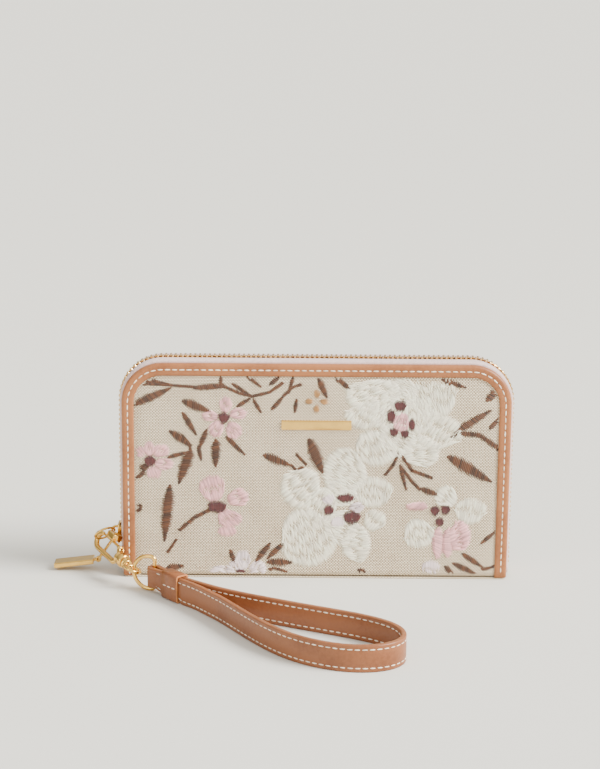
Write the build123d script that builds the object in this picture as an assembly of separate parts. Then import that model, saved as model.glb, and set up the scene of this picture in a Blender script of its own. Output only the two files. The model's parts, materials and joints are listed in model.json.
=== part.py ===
"""Zip-around wristlet wallet standing on its spine, with its wrist strap lying in front of it.

Millimetres, +X to the right, +Y to the back, +Z up.  The origin is the centre of the flat
underside of the spine.  Each sub-part is written to parts/NODE.step.
"""

from build123d import *
import math
import os

os.makedirs("parts", exist_ok=True)

# ---------------------------------------------------------------- driving sizes: the wallet
panel_w = 191.0             # width of a cover over its leather edges
panel_h = 109.0             # height of a cover above the surface it stands on
wallet_d = 25.0             # closed thickness, front cover to back cover
corner_r = 20.0             # top corners of the covers

trim_w = 6.0                # width of the leather binding on the face
trim_t = 1.1                # thickness of the binding leather
canvas_t = 1.0              # woven canvas under the binding
canvas_puff = 0.75          # how far the canvas field stands up inside the binding
board_t = 1.0               # stiffener in a cover
lining_t = 0.5              # lining inside a cover
spine_t = 0.7               # canvas that runs under the spine
spine_inset = 0.3           # the spine canvas stops this far short of each face
fold_gap = 0.3              # room between a cover and the spine it folds on
layer_gap = 0.05            # room between layers that lie on each other

# ---------------------------------------------------------------- driving sizes: the main zip
tape_t = 0.6                # zip tape
tape_sewn_w = 6.0           # width of tape sewn inside a cover
tape_rise = 0.6             # inner face of the tape wall outside the cover's edge
chain_pitch = 2.4           # pitch of the teeth
tooth_len = 1.0             # one tooth along the chain
tooth_h = 2.6               # one tooth across the tape's thickness
tooth_reach = 0.7           # a tooth reaches this far past the middle of the chain
tooth_w = 2.9               # a tooth reaches this far to its own side
tape_edge = 1.9             # edge of each tape, from the middle of the chain
tooth_slot_gap = 0.06       # room between a tooth's legs and the tape
chain_end_z = 5.0           # the chain ends this high at the right
stop_len = 2.4              # end stops, along the chain
stop_w = 1.8                # and through the tape

slider_len = 10.0           # main slider, along the zip
slider_plate_t = 1.0        # its two plates and its side flanges
slider_gap = 0.3            # its clearance around teeth and tape
slider_z = 19.5             # height of its middle when the zip is shut
bridge_span = 7.4           # loop on the slider, along the zip
bridge_rise = 4.0           # height of that loop
bridge_wire = 1.3           # thickness of that loop
zip_travel = 66.0           # straight run of the slider up the left side

# ---------------------------------------------------------------- driving sizes: the inside
slot_t = 0.4                # one leather layer of the card pockets
slot_tops = (64.0, 50.0, 36.0)
slot_half_w = 82.0          # half width of the card pockets
slot_bottom = 8.0
coin_half_w = 83.0          # half width of the coin pocket
coin_bottom = 6.0
coin_top = 92.0
coin_wall_t = 0.7
coin_clear = 4.4            # clear width inside the coin pocket
coin_tape_t = 0.5
coin_tooth_h = 1.8
coin_chain_half = 1.1
coin_tape_edge = 0.75
coin_plate_t = 0.6
coin_gap = 0.2
coin_chain_pitch = 2.0
coin_slider_len = 7.0
coin_slider_x = -72.0       # coin slider when its zip is shut
coin_travel = 144.0
gusset_t = 0.4
gusset_top = 88.0

# ---------------------------------------------------------------- driving sizes: the hardware
plate_w = 34.3              # blank plate on the front
plate_h = 4.8
plate_t = 0.7
plate_z = 78.8
prong_r = 0.6
prong_x = 12.0
washer_r = 2.4
washer_t = 0.4

ring_wire = 1.1             # thin ring on the slider
link_wire = 1.0             # long link of the bar puller
link_half_w = 2.7           # half its width, between middle lines
link_corner = 1.6
clasp_t = 2.6               # thickness of the clasp
clasp_len = 29.5            # hook and housing
clasp_half_w = 4.9
clasp_wall = 2.0
pin_r = 0.7                 # pivot pin of the clasp lever
pin_gap = 0.05
stem_r = 1.2                # swivel stem
stem_gap = 0.08
eye_wire = 1.8              # swivel eye
d_wire = 2.0                # D-ring
d_height = 18.5             # outside, from the surface up
d_depth = 11.0              # from the bow's middle line to the bar's middle line
bar_len = 20.0
bar_w = 8.5
bar_t = 2.6

strap_w = 12.5              # strap standing on its edge
strap_t = 2.4               # one band of the strap
eye_gap = 0.3               # room between strap and D-ring bar
keeper_len = 12.0
keeper_t = 1.2

# ---------------------------------------------------------------- places worked out from them
front_y = -wallet_d / 2                            # outer face of the front binding
canvas_y = front_y + trim_t                        # canvas under the binding
board_y = canvas_y + canvas_t
lining_y = board_y + board_t
inner_y = lining_y + lining_t                      # inside face of the front lining
fold_z = spine_t + fold_gap                        # covers start here
side_x = panel_w / 2
chain_off = tape_rise + tape_t / 2                 # middle of the chain outside the cover's edge

bridge_x = -(side_x + chain_off + tooth_h / 2 + slider_gap + slider_plate_t)
bridge_mid_x = bridge_x - (bridge_rise - bridge_wire) / 2

link_hold = Vector(bridge_mid_x, 0, slider_z - 1.6)        # the long link in the slider's loop
bar_hold = Vector(bridge_mid_x - 8.95, 0, slider_z - 14.3)  # the bar's barrel on the long link
bar_heading = Vector(-1, 0, -0.12)                         # the bar lies out to the left
ring_middle = Vector(bridge_mid_x - 5.25, -1.9, slider_z - 0.1)   # thin ring
ring_normal = Vector(-0.382, 0.598, 0.705)
ring_r = 5.16
clasp_hold = Vector(bridge_mid_x - 8.61, 0, slider_z - 3.5)       # the clasp hangs on the thin ring
clasp_roll = -22.2                                         # turn of the clasp about its own length
swivel_hold = clasp_hold + Vector(20.36, -29.6, d_height / 2 - clasp_hold.Z)   # D-ring in the swivel
d_heading = Vector(10.4, -3.5, 0)                          # from the D-ring's bow to its bar
strap_turn = -48.6                                         # direction of the sewn part of the strap
loop_points = [                                            # middle line of the loop, from the D-ring's bar
    (19.2, -20.5), (30.2, -28.5), (44.2, -36.7), (58.2, -44.1), (72.2, -51.3),
    (86.2, -57.9), (99.2, -64.5), (109.7, -72.1), (115.8, -80.9), (116.8, -90.9),
    (111.8, -98.5), (103.2, -102.5), (92.7, -102.8), (82.2, -99.5), (71.7, -93.5),
    (61.7, -84.3), (52.4, -72.1), (43.7, -58.3), (34.8, -43.5), (26.2, -29.9),
]


def unit(vector):
    """The vector at length one."""
    return vector * (1.0 / vector.length)


def slab(face, y_low, y_high):
    """A flat layer: the face is drawn as X and Z, and fills from y_low to y_high."""
    return Rot(90, 0, 0) * (Pos(0, 0, -y_high) * extrude(face, y_high - y_low))


def cover(offset, bottom):
    """Outline of a cover with round top corners, grown by offset."""
    half = side_x + offset
    height = panel_h + offset - bottom
    face = Pos(0, bottom + height / 2) * Rectangle(2 * half, height)
    top = face.vertices().group_by(Axis.Y)[-1]
    return fillet(top, corner_r + offset)


def block(x, y, z):
    """A box given by its low and high value on each axis."""
    size = (x[1] - x[0], y[1] - y[0], z[1] - z[0])
    return Pos((x[0] + x[1]) / 2, (y[0] + y[1]) / 2, (z[0] + z[1]) / 2) * Box(*size)


def mirrored(shape):
    """The same piece for the other cover."""
    return mirror(shape, about=Plane.XZ)


# ---------------------------------------------------------------- covers and spine
def cover_layers():
    """Binding, canvas, board and lining of the front cover, outside to inside."""
    rim = cover(0, fold_z)
    under = cover(-trim_t - layer_gap, fold_z)
    field = cover(-trim_w - layer_gap, fold_z)
    face_ring = slab(rim - cover(-trim_w, fold_z), front_y, canvas_y - layer_gap)
    edge_ring = slab(rim - cover(-trim_t, fold_z), canvas_y - layer_gap, inner_y - layer_gap)
    canvas = slab(under, canvas_y, board_y)
    canvas += slab(field, canvas_y - canvas_puff, canvas_y)
    board = slab(under, board_y, lining_y)
    lining = slab(under, lining_y, inner_y)
    return face_ring + edge_ring, canvas, board, lining


def spine_layers():
    """Canvas under the spine, and the board that lies on it."""
    half_y = -front_y - spine_inset
    canvas = block((-side_x + 1, side_x - 1), (-half_y, half_y), (0, spine_t))
    board = block((-side_x + 8, side_x - 8), (-8, 8), (spine_t, spine_t + 2 * board_t))
    return canvas, board


# ---------------------------------------------------------------- main zip
def tape():
    """Front zip tape: a strip sewn inside the cover, and the wall that reaches the teeth."""
    low = fold_z + 1.5
    outer = cover(tape_rise + tape_t, low)
    sewn = slab(outer - cover(-tape_sewn_w, low), inner_y, inner_y + tape_t)
    wall = slab(outer - cover(tape_rise, low), inner_y + tape_t, -tape_edge)
    return sewn + wall


def chain_place(distance):
    """Place on the chain's middle line, from the slider over the top to the lower right."""
    radius = corner_r + chain_off
    start = slider_z - slider_len / 2 + 3.6
    up = panel_h - corner_r - start
    across = 2 * (side_x - corner_r)
    bend = radius * math.pi / 2
    x_side, z_top = side_x + chain_off, panel_h + chain_off
    x_bend, z_bend = side_x - corner_r, panel_h - corner_r
    if distance < up:
        return -x_side, start + distance, 90.0
    distance -= up
    if distance < bend:
        turn = distance / radius
        return -x_bend - radius * math.cos(turn), z_bend + radius * math.sin(turn), 90 - math.degrees(turn)
    distance -= bend
    if distance < across:
        return -x_bend + distance, z_top, 0.0
    distance -= across
    if distance < bend:
        turn = distance / radius
        return x_bend + radius * math.sin(turn), z_bend + radius * math.cos(turn), -math.degrees(turn)
    return x_side, z_bend - (distance - bend), -90.0


def chain_length():
    """Length of the chain's middle line."""
    start = slider_z - slider_len / 2 + 3.6
    sides = 2 * (panel_h - corner_r) - start - chain_end_z
    return sides + 2 * (side_x - corner_r) + (corner_r + chain_off) * math.pi


def teeth(first):
    """Teeth of the front tape, each astride the tape's edge."""
    tooth = block((0, tooth_len), (-tooth_w, tooth_reach), (-tooth_h / 2, tooth_h / 2))
    slot_half = tape_t / 2 + tooth_slot_gap
    tooth -= block((-1, tooth_len + 1), (-tooth_w - 1, -tape_edge + tooth_slot_gap), (-slot_half, slot_half))
    row = []
    distance = first
    while distance + tooth_len < chain_length():
        x, z, turn = chain_place(distance + tooth_len / 2)
        row.append(Pos(x, 0, z) * Rot(0, -turn, 0) * Pos(-tooth_len / 2, 0, 0) * tooth)
        distance += chain_pitch
    return Compound(children=row)


def slider_shell(length, half_chain, chain_h, tape_thick, plate, gap, mouth):
    """Two plates joined by a post, with flanges that leave a slot for each tape.

    Drawn with the chain along Z and the outside towards -X; the mouth is the low end.
    """
    half_y = half_chain + gap + plate
    inner = chain_h / 2 + gap
    outer = inner + plate
    slot = tape_thick / 2 + gap
    body = block((-outer, -inner), (-half_y, half_y), (-length / 2, length / 2))
    body += block((inner, outer), (-half_y, half_y), (-length / 2, length / 2))
    for side in (-1, 1):
        y = sorted((side * (half_y - plate), side * half_y))
        body += block((-inner, -slot), y, (-length / 2, length / 2))
        body += block((slot, inner), y, (-length / 2, length / 2))
    body += block((-inner, inner), (-mouth / 2, mouth / 2), (-length / 2, -length / 2 + 2.6))
    return body


def main_slider():
    """Slider of the main zip, and the loop on its outer plate."""
    x = -(side_x + chain_off)
    mouth = 2 * (tape_edge - slider_gap) - 0.8
    shell = slider_shell(slider_len, tooth_w, tooth_h, tape_t, slider_plate_t, slider_gap, mouth)
    shell = Pos(x, 0, slider_z) * shell
    arch = block((-bridge_rise, 0), (-bridge_wire / 2, bridge_wire / 2), (-bridge_span / 2, bridge_span / 2))
    arch = fillet(arch.edges().filter_by(Axis.Y).group_by(Axis.X)[0], 1.6)
    hole_span = bridge_span - 2 * bridge_wire
    arch -= block((-bridge_rise + bridge_wire, 0), (-2, 2), (-hole_span / 2, hole_span / 2))
    return shell, Pos(bridge_x, 0, slider_z) * arch


def end_stop(x, z):
    """A crimped stop across the chain."""
    y = (-tape_edge + 0.1, tape_edge - 0.1)
    body = block((-stop_w / 2, stop_w / 2), y, (-stop_len / 2, stop_len / 2))
    return Pos(x, 0, z) * body


# ---------------------------------------------------------------- inside
def card_slots():
    """Three stepped leather layers inside the front cover."""
    layers = []
    for number, top in enumerate(slot_tops):
        low_y = inner_y + number * slot_t
        layer = block((-slot_half_w, slot_half_w), (low_y, low_y + slot_t), (slot_bottom, top))
        layers.append(layer)
    return layers


def coin_pocket():
    """Walls, closed edge, tapes and teeth of the pocket in the middle."""
    half_in = coin_clear / 2
    half_out = half_in + coin_wall_t
    edge = coin_wall_t
    front = block((-coin_half_w, coin_half_w), (-half_out, -half_in), (coin_bottom, coin_top))
    x = (-coin_half_w, coin_half_w)
    rim = block(x, (-half_in, half_in), (coin_bottom, coin_top - 2))
    rim -= block((x[0] + edge, x[1] - edge), (-half_in, half_in), (coin_bottom + edge, coin_top))
    tape_z = coin_top - 1.4
    strip_x = (-coin_half_w + 2, coin_half_w - 2)
    strip = block(strip_x, (-half_in, -coin_tape_edge), (tape_z, tape_z + coin_tape_t))
    row = []
    x_now = coin_slider_x + 1.0
    side = -1
    while x_now < coin_half_w - 5:
        y = sorted((side * coin_chain_half, -side * 0.2))
        tooth = block((x_now, x_now + 0.8), y, (tape_z - 0.65, tape_z + 1.15))
        slot = sorted((side * (coin_tape_edge - 0.06), side * 2.0))
        tooth -= block((x_now - 1, x_now + 2), slot, (tape_z - 0.06, tape_z + coin_tape_t + 0.06))
        row.append(tooth)
        x_now += coin_chain_pitch / 2
        side = -side
    chain_z = tape_z + coin_tape_t / 2
    return front, rim, strip, Compound(children=row), chain_z


def coin_slider(chain_z):
    """Slider of the coin zip, its loop, and a plain tab hung on the loop."""
    mouth = 2 * (coin_tape_edge - coin_gap)
    shell = slider_shell(
        coin_slider_len, coin_chain_half, coin_tooth_h, coin_tape_t, coin_plate_t, coin_gap, mouth)
    shell = Pos(coin_slider_x, 0, chain_z) * Rot(0, 90, 0) * shell
    top = chain_z + coin_tooth_h / 2 + coin_gap + coin_plate_t
    arch = block((-2.6, 2.6), (-0.5, 0.5), (0, 2.4)) - block((-1.7, 1.7), (-1, 1), (0, 1.5))
    arch = Pos(coin_slider_x, 0, top) * arch
    pivot = Vector(coin_slider_x, 0, top + 0.75)
    tab = Pos(-7.2, 0, 0) * Box(11.4, 3.6, 0.9)
    tab = fillet(tab.edges().filter_by(Axis.Z), 1.2)
    tab -= Pos(-2.3, 0, 0) * Box(2.2, 2.0, 2)
    bar = Rot(90, 0, 0) * Cylinder(0.45, 3.6)
    arms = Pos(-1.0, 1.4, 0) * Box(2.0, 0.8, 0.9) + Pos(-1.0, -1.4, 0) * Box(2.0, 0.8, 0.9)
    tab = Pos(pivot.X, pivot.Y, pivot.Z) * (tab + bar + arms)
    return shell, arch, tab, pivot


def gusset(side, y_wall, y_pocket):
    """A folded side wall, one pleat deep, between a cover and the coin pocket."""
    x_out, x_in = side_x - 7.5, coin_half_w + 1.0
    y_mid = (y_wall + y_pocket) / 2
    ribbon = Plane.XY * make_face(Polyline(
        (x_out, y_wall), (x_in, y_mid), (x_out, y_pocket),
        (x_out + gusset_t * 3, y_pocket), (x_in + gusset_t * 3, y_mid), (x_out + gusset_t * 3, y_wall),
        close=True))
    solid = extrude(Pos(0, 0, coin_bottom) * ribbon, gusset_top - coin_bottom)
    return solid if side > 0 else mirror(solid, about=Plane.YZ)


# ---------------------------------------------------------------- plate
def name_plate():
    """Blank plate with two prongs through canvas and board."""
    face = canvas_y - canvas_puff
    z = (plate_z - plate_h / 2, plate_z + plate_h / 2)
    plate = block((-plate_w / 2, plate_w / 2), (face - plate_t, face), z)
    plate = fillet(plate.edges().filter_by(Axis.Y), 0.5)
    for side in (-1, 1):
        prong = Rot(90, 0, 0) * Cylinder(prong_r, lining_y - face)
        plate += Pos(side * prong_x, (lining_y + face) / 2, plate_z) * prong
    return plate


def prong_holes(radius, y_low, y_high):
    """Holes for the two prongs."""
    tool = Rot(90, 0, 0) * Cylinder(radius, y_high - y_low)
    return [Pos(side * prong_x, (y_low + y_high) / 2, plate_z) * tool for side in (-1, 1)]


# ---------------------------------------------------------------- clasp and swivel
clasp_dir = unit(swivel_hold - clasp_hold)
reach = (swivel_hold - clasp_hold).length
clasp_upright = unit(Vector(0, 0, 1) - clasp_dir * clasp_dir.Z)
clasp_up = clasp_upright.rotate(Axis((0, 0, 0), clasp_dir), clasp_roll)
clasp_plane = Plane(origin=clasp_hold, x_dir=clasp_dir, z_dir=clasp_dir.cross(clasp_up))

hook_end = clasp_len - 5.7
mouth_end = clasp_len - 9.9
gate_start = 2.7
housing_r = 3.5
housing_start = clasp_len - 8.7
housing_end = clasp_len - 2.2
head_start, head_end = clasp_len - 6.9, clasp_len - 4.7
head_r = 1.9
mouth_half = clasp_half_w - clasp_wall
jaw_inner = -(ring_wire / 2 + 0.35)
lever_x, lever_y = mouth_end - 0.4, clasp_half_w - 0.9
cheek_t = 0.3


def along(x_low, x_high, y_low, y_high, thick):
    """A block in the clasp's own frame: along it, across it, and its thickness."""
    return block((x_low, x_high), (y_low, y_high), (-thick / 2, thick / 2))


def turned(radius, x_low, x_high):
    """A round piece on the clasp's axis."""
    return Pos((x_low + x_high) / 2, 0, 0) * Rot(0, 90, 0) * Cylinder(radius, x_high - x_low)


def on_pin(radius, thick):
    """A round piece on the lever's pin."""
    return Pos(lever_x, lever_y, 0) * Cylinder(radius, thick)


def stadium(x_low, x_high, half):
    """A slot-shaped face along X."""
    return Pos((x_low + x_high) / 2, 0) * SlotOverall(x_high - x_low, 2 * half)


def clasp_body():
    """Hook with an open side, two cheeks for the lever, and the housing of the swivel."""
    outer = stadium(jaw_inner - clasp_wall, hook_end, clasp_half_w)
    inner = stadium(jaw_inner, mouth_end, mouth_half)
    gate_end = mouth_end + 0.5
    gate = Pos((gate_start + gate_end) / 2, clasp_half_w) * Rectangle(gate_end - gate_start, 2 * clasp_wall + 1)
    hook = Pos(0, 0, -clasp_t / 2) * extrude(outer - inner - gate, clasp_t)
    hook += turned(housing_r, housing_start, housing_end)
    hook += on_pin(1.9, clasp_t + 2 * cheek_t)
    slot_t = clasp_t - 2 * cheek_t
    hook -= on_pin(2.4, slot_t)
    hook -= along(gate_start - 0.3, lever_x, mouth_half - 0.2, 2 * clasp_half_w, slot_t)
    hook -= turned(head_r + 0.15, head_start - 0.25, head_end + 0.15)
    hook -= turned(stem_r + stem_gap, head_end, clasp_len)
    return hook - on_pin(pin_r, clasp_t + 2)


def clasp_lever():
    """Gate of the hook with its thumb pad, turning on the pin."""
    thick = clasp_t - 2 * cheek_t - 0.6
    gate = along(gate_start + 0.2, lever_x, lever_y - 0.7, lever_y + 0.7, thick)
    tab = along(9.6, 12.0, lever_y, lever_y + 3.6, thick)
    pad = along(8.4, 13.4, lever_y + 2.8, lever_y + 4.0, clasp_t + 1.6)
    return gate + on_pin(1.5, thick) + tab + pad - on_pin(pin_r + pin_gap, clasp_t)


def swivel():
    """Headed stem with two collars, and the eye that takes the D-ring."""
    collar_end = clasp_len + 0.8
    stem = turned(head_r, head_start, head_end - 0.1) + turned(stem_r, head_start, clasp_len - 1.2)
    stem += turned(3.0, clasp_len - 1.9, clasp_len - 0.4) + turned(2.5, clasp_len - 0.4, collar_end)
    eye_far = reach + d_wire / 2 + eye_gap + eye_wire / 2
    eye_near = collar_end + eye_wire / 2 - 0.3
    eye = Pos((eye_near + eye_far) / 2, 0, 0) * Rot(90, 0, 0) * Torus((eye_far - eye_near) / 2, eye_wire / 2)
    return stem, eye - turned(2.5, clasp_len - 0.4, collar_end)


# ---------------------------------------------------------------- D-ring and strap
def d_ring():
    """D-ring standing on edge: bow in the swivel eye, bar in the fold of the strap."""
    heading = unit(d_heading)
    plane = Plane(origin=swivel_hold, x_dir=heading, z_dir=heading.cross(Vector(0, 0, 1)))
    face = Pos(d_depth / 2, 0) * Rectangle(d_depth, d_height - d_wire)
    bow = face.vertices().group_by(Axis.X)[0]
    face = fillet(bow, d_height / 2 - d_wire / 2 - 0.4)
    bar = face.vertices().group_by(Axis.X)[-1]
    face = fillet(bar, 2.2)
    path = face.face().outer_wire()
    profile = Plane(origin=(d_depth, 0, 0), x_dir=(1, 0, 0), z_dir=(0, 1, 0)) * Circle(d_wire / 2)
    ring = sweep(profile, path=path)
    return plane.location * ring, swivel_hold + heading * d_depth


def loop_face(bar):
    """Face inside the middle line of the strap's loop, seen from above."""
    points = [(bar.X + x, bar.Y + y) for x, y in loop_points]
    radii = []
    for index, here in enumerate(points):
        before, after = points[index - 1], points[(index + 1) % len(points)]
        run_in = math.dist(before, here)
        run_out = math.dist(here, after)
        heading_in = math.atan2(here[1] - before[1], here[0] - before[0])
        heading_out = math.atan2(after[1] - here[1], after[0] - here[0])
        turn = abs(math.remainder(heading_out - heading_in, math.tau))
        radii.append(0.45 * min(run_in, run_out) / math.tan(turn / 2))
    return make_face(FilletPolyline(*points, radius=radii, close=True))


def strap_and_keeper(bar):
    """Strap: a loop and its sewn end with the eye, and the keeper round the sewn end."""
    loop = loop_face(bar)
    band = offset(loop, strap_t / 2) - offset(loop, -strap_t / 2)
    tail_len = 33.0
    tail_turn = Rot(0, 0, strap_turn)
    place = Pos(bar.X, bar.Y)
    tail = place * tail_turn * (Pos(tail_len / 2, 0) * Rectangle(tail_len, 2 * strap_t))
    eye_r = d_wire / 2 + eye_gap
    lobe = place * Circle(eye_r + 1.9)
    shape = band + tail + lobe - place * Circle(eye_r)
    strap = extrude(shape, strap_w)
    strap -= Pos(bar.X, bar.Y, 0) * Cylinder(eye_r + 2.6, 2 * (d_wire + eye_gap))
    start = 9.5
    inner = Pos(start + keeper_len / 2, 0, strap_w / 2) * Box(keeper_len + 0.2, 2 * strap_t + 0.1, strap_w)
    outer = Pos(start + keeper_len / 2, 0, strap_w / 2 + 0.6) * Box(
        keeper_len, 2 * (strap_t + keeper_t), strap_w + keeper_t)
    outer = fillet(outer.edges().filter_by(Axis.X), 0.9)
    inner = Pos(0, 0, keeper_t) * inner - Pos(0, 0, strap_w) * inner
    keeper = Pos(bar.X, bar.Y, 0) * tail_turn * (outer - inner)
    return strap - keeper, keeper


# ---------------------------------------------------------------- thin ring, long link and bar puller
def thin_ring():
    """Ring of thin wire through the slider's loop and the clasp."""
    plane = Plane(origin=ring_middle, z_dir=unit(ring_normal))
    return plane.location * Torus(ring_r, ring_wire / 2)


def long_link():
    """Oblong link from the slider's loop down to the bar."""
    drop = unit(bar_hold - link_hold)
    plane = Plane(origin=link_hold, x_dir=drop, z_dir=drop.cross(Vector(0, 1, 0)))
    span = (bar_hold - link_hold).length
    path = (Pos(span / 2, 0) * RectangleRounded(span, 2 * link_half_w, link_corner)).face().outer_wire()
    profile = Plane(origin=(span / 2, link_half_w, 0), x_dir=(0, 1, 0), z_dir=(1, 0, 0)) * Circle(link_wire / 2)
    return plane.location * sweep(profile, path=path)


def bar_puller():
    """Solid bar whose barrel turns on the end of the long link."""
    heading = unit(bar_heading)
    plane = Plane(origin=bar_hold, x_dir=heading, z_dir=heading.cross(Vector(0, -1, 0)))
    hole_r = link_wire / 2 + pin_gap
    barrel_r = hole_r + 0.9
    barrel_w = 2 * (link_half_w - link_corner)
    body = Pos(barrel_r + 0.7 + bar_len / 2, 0, 0) * Box(bar_len, bar_w, bar_t)
    body = fillet(body.edges().filter_by(Axis.Z), 0.8)
    barrel = Rot(90, 0, 0) * Cylinder(barrel_r, barrel_w)
    neck = Pos(barrel_r, 0, 0) * Box(2 * barrel_r, barrel_w, 1.4)
    return plane.location * (body + barrel + neck - Rot(90, 0, 0) * Cylinder(hole_r, bar_w))


def build():
    """Every sub-part by name."""
    parts = {}
    trim, canvas, board, lining = cover_layers()
    parts["back_leather_trim"] = mirrored(trim)
    parts["back_canvas"] = mirrored(canvas)
    parts["back_board"] = mirrored(board)
    parts["back_lining"] = mirrored(lining)
    washer = Rot(90, 0, 0) * Cylinder(washer_r, washer_t)
    seats = prong_holes(washer_r + layer_gap, lining_y - washer_t, lining_y)
    for hole in prong_holes(prong_r, canvas_y - canvas_puff, lining_y):
        canvas -= hole
        board -= hole
    for seat in seats:
        board -= seat
    parts["front_leather_trim"] = trim
    parts["front_canvas"] = canvas
    parts["front_board"] = board
    parts["front_lining"] = lining
    plate = name_plate()
    for side, name in ((-1, "left"), (1, "right")):
        disc = Pos(side * prong_x, lining_y - washer_t / 2, plate_z) * washer
        for hole in prong_holes(prong_r, lining_y - 2, lining_y + 1):
            disc -= hole
        parts[f"plate_washer_{name}"] = disc
    parts["front_plate"] = plate

    parts["spine_canvas"], parts["spine_board"] = spine_layers()

    front_tape = tape()
    parts["front_zip_tape"] = front_tape
    parts["back_zip_tape"] = mirrored(front_tape)
    parts["front_zip_teeth"] = teeth(0.0)
    parts["back_zip_teeth"] = mirrored(teeth(chain_pitch / 2))
    parts["slider_body"], parts["slider_bridge"] = main_slider()
    stop_x = side_x + chain_off
    parts["zip_stop_left"] = end_stop(-stop_x, slider_z - slider_len / 2 - 2.2)
    parts["zip_stop_right"] = end_stop(stop_x, chain_end_z - 2.0)

    for number, layer in enumerate(card_slots(), start=1):
        parts[f"front_card_slot_{number}"] = layer
        parts[f"back_card_slot_{number}"] = mirrored(layer)

    wall, rim, strip, coin_teeth, chain_z = coin_pocket()
    parts["coin_wall_front"] = wall
    parts["coin_wall_back"] = mirrored(wall)
    parts["coin_edge"] = rim
    parts["coin_tape_front"] = strip
    parts["coin_tape_back"] = mirrored(strip)
    parts["coin_teeth"] = coin_teeth
    shell, arch, tab, _ = coin_slider(chain_z)
    parts["coin_slider"], parts["coin_slider_loop"], parts["coin_pull_tab"] = shell, arch, tab

    pocket_y = -(coin_clear / 2 + coin_wall_t)
    for side, name in ((-1, "left"), (1, "right")):
        pleat = gusset(side, inner_y + tape_t + 0.3, pocket_y - 0.3)
        parts[f"front_gusset_{name}"] = pleat
        parts[f"back_gusset_{name}"] = mirrored(pleat)

    parts["thin_ring"] = thin_ring()
    parts["long_link"] = long_link()

    frame = clasp_plane.location
    parts["clasp_body"] = frame * clasp_body()
    parts["clasp_lever"] = frame * clasp_lever()
    parts["clasp_pin"] = frame * on_pin(pin_r, clasp_t + 2 * cheek_t)
    stem, eye = swivel()
    parts["swivel_stem"] = frame * stem
    parts["swivel_eye"] = frame * eye

    parts["d_ring"], bar = d_ring()
    parts["wrist_strap"], parts["strap_keeper"] = strap_and_keeper(bar)

    parts["bar_puller"] = bar_puller()
    return parts


for node, shape in build().items():
    export_step(shape, f"parts/{node}.step")
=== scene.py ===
"""Studio model of a zip-around wristlet wallet: canvas, leather, embroidery, brass zip and wrist strap."""

import json
import logging
import math
import random
from dataclasses import dataclass, field
from enum import Enum
from typing import Sequence

import bmesh
import bpy
import numpy as np
from mathutils import Matrix, Vector

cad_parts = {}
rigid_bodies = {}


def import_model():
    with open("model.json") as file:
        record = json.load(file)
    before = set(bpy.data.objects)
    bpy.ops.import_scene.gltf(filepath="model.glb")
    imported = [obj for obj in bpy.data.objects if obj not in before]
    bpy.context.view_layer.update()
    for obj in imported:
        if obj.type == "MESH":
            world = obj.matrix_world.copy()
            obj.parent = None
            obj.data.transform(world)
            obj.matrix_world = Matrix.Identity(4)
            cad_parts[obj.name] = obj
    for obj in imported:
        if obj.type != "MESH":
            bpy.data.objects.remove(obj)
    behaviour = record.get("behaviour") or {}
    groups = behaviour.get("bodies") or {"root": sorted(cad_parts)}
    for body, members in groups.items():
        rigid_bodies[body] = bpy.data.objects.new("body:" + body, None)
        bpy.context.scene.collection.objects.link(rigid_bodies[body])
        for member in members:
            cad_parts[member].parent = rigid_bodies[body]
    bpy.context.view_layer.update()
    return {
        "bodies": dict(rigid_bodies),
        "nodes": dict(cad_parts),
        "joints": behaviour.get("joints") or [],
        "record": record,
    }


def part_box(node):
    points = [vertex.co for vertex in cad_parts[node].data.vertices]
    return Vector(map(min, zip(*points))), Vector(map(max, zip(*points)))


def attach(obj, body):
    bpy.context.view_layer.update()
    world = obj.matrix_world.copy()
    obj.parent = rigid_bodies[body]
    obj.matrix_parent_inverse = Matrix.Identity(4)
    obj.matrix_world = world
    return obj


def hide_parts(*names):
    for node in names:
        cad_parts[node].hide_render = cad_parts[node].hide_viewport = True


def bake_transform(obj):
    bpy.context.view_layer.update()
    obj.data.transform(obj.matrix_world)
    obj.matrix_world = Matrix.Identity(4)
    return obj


LOG = logging.getLogger("wallet")
MM = 0.001
SEED = 11


class Side(Enum):
    """The two covers; the value is the direction of the cover's outer face along Y."""

    FRONT = -1
    BACK = 1

    @property
    def word(self) -> str:
        """The word used in node and piece names."""
        return self.name.lower()

    @property
    def body(self) -> str:
        """The body that this cover's pieces ride on."""
        return f"{self.word}_half"


class Thread(Enum):
    """Embroidery threads, by colour (sRGB, 0 to 255)."""

    BROWN = (84, 50, 27)
    WHITE = (248, 240, 216)
    PINK = (240, 178, 178)
    BLUSH = (240, 220, 219)
    WINE = (84, 38, 38)
    GILT = (176, 128, 74)


class Form(Enum):
    """How a flower's petal is stitched."""

    RADIAL = "towards the heart"
    ACROSS = "across the petal"


# ------------------------------------------------------------------ small helpers
def shade(red: float, green: float, blue: float) -> tuple[float, float, float, float]:
    """An sRGB colour, 0 to 255, as linear RGBA."""
    values = []
    for part in (red, green, blue):
        part /= 255
        values.append(part / 12.92 if part <= 0.04045 else ((part + 0.055) / 1.055) ** 2.4)
    return (*values, 1.0)


def smooth(value: float) -> float:
    """A smooth step from 0 to 1."""
    value = min(1.0, max(0.0, value))
    return value * value * (3 - 2 * value)


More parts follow.
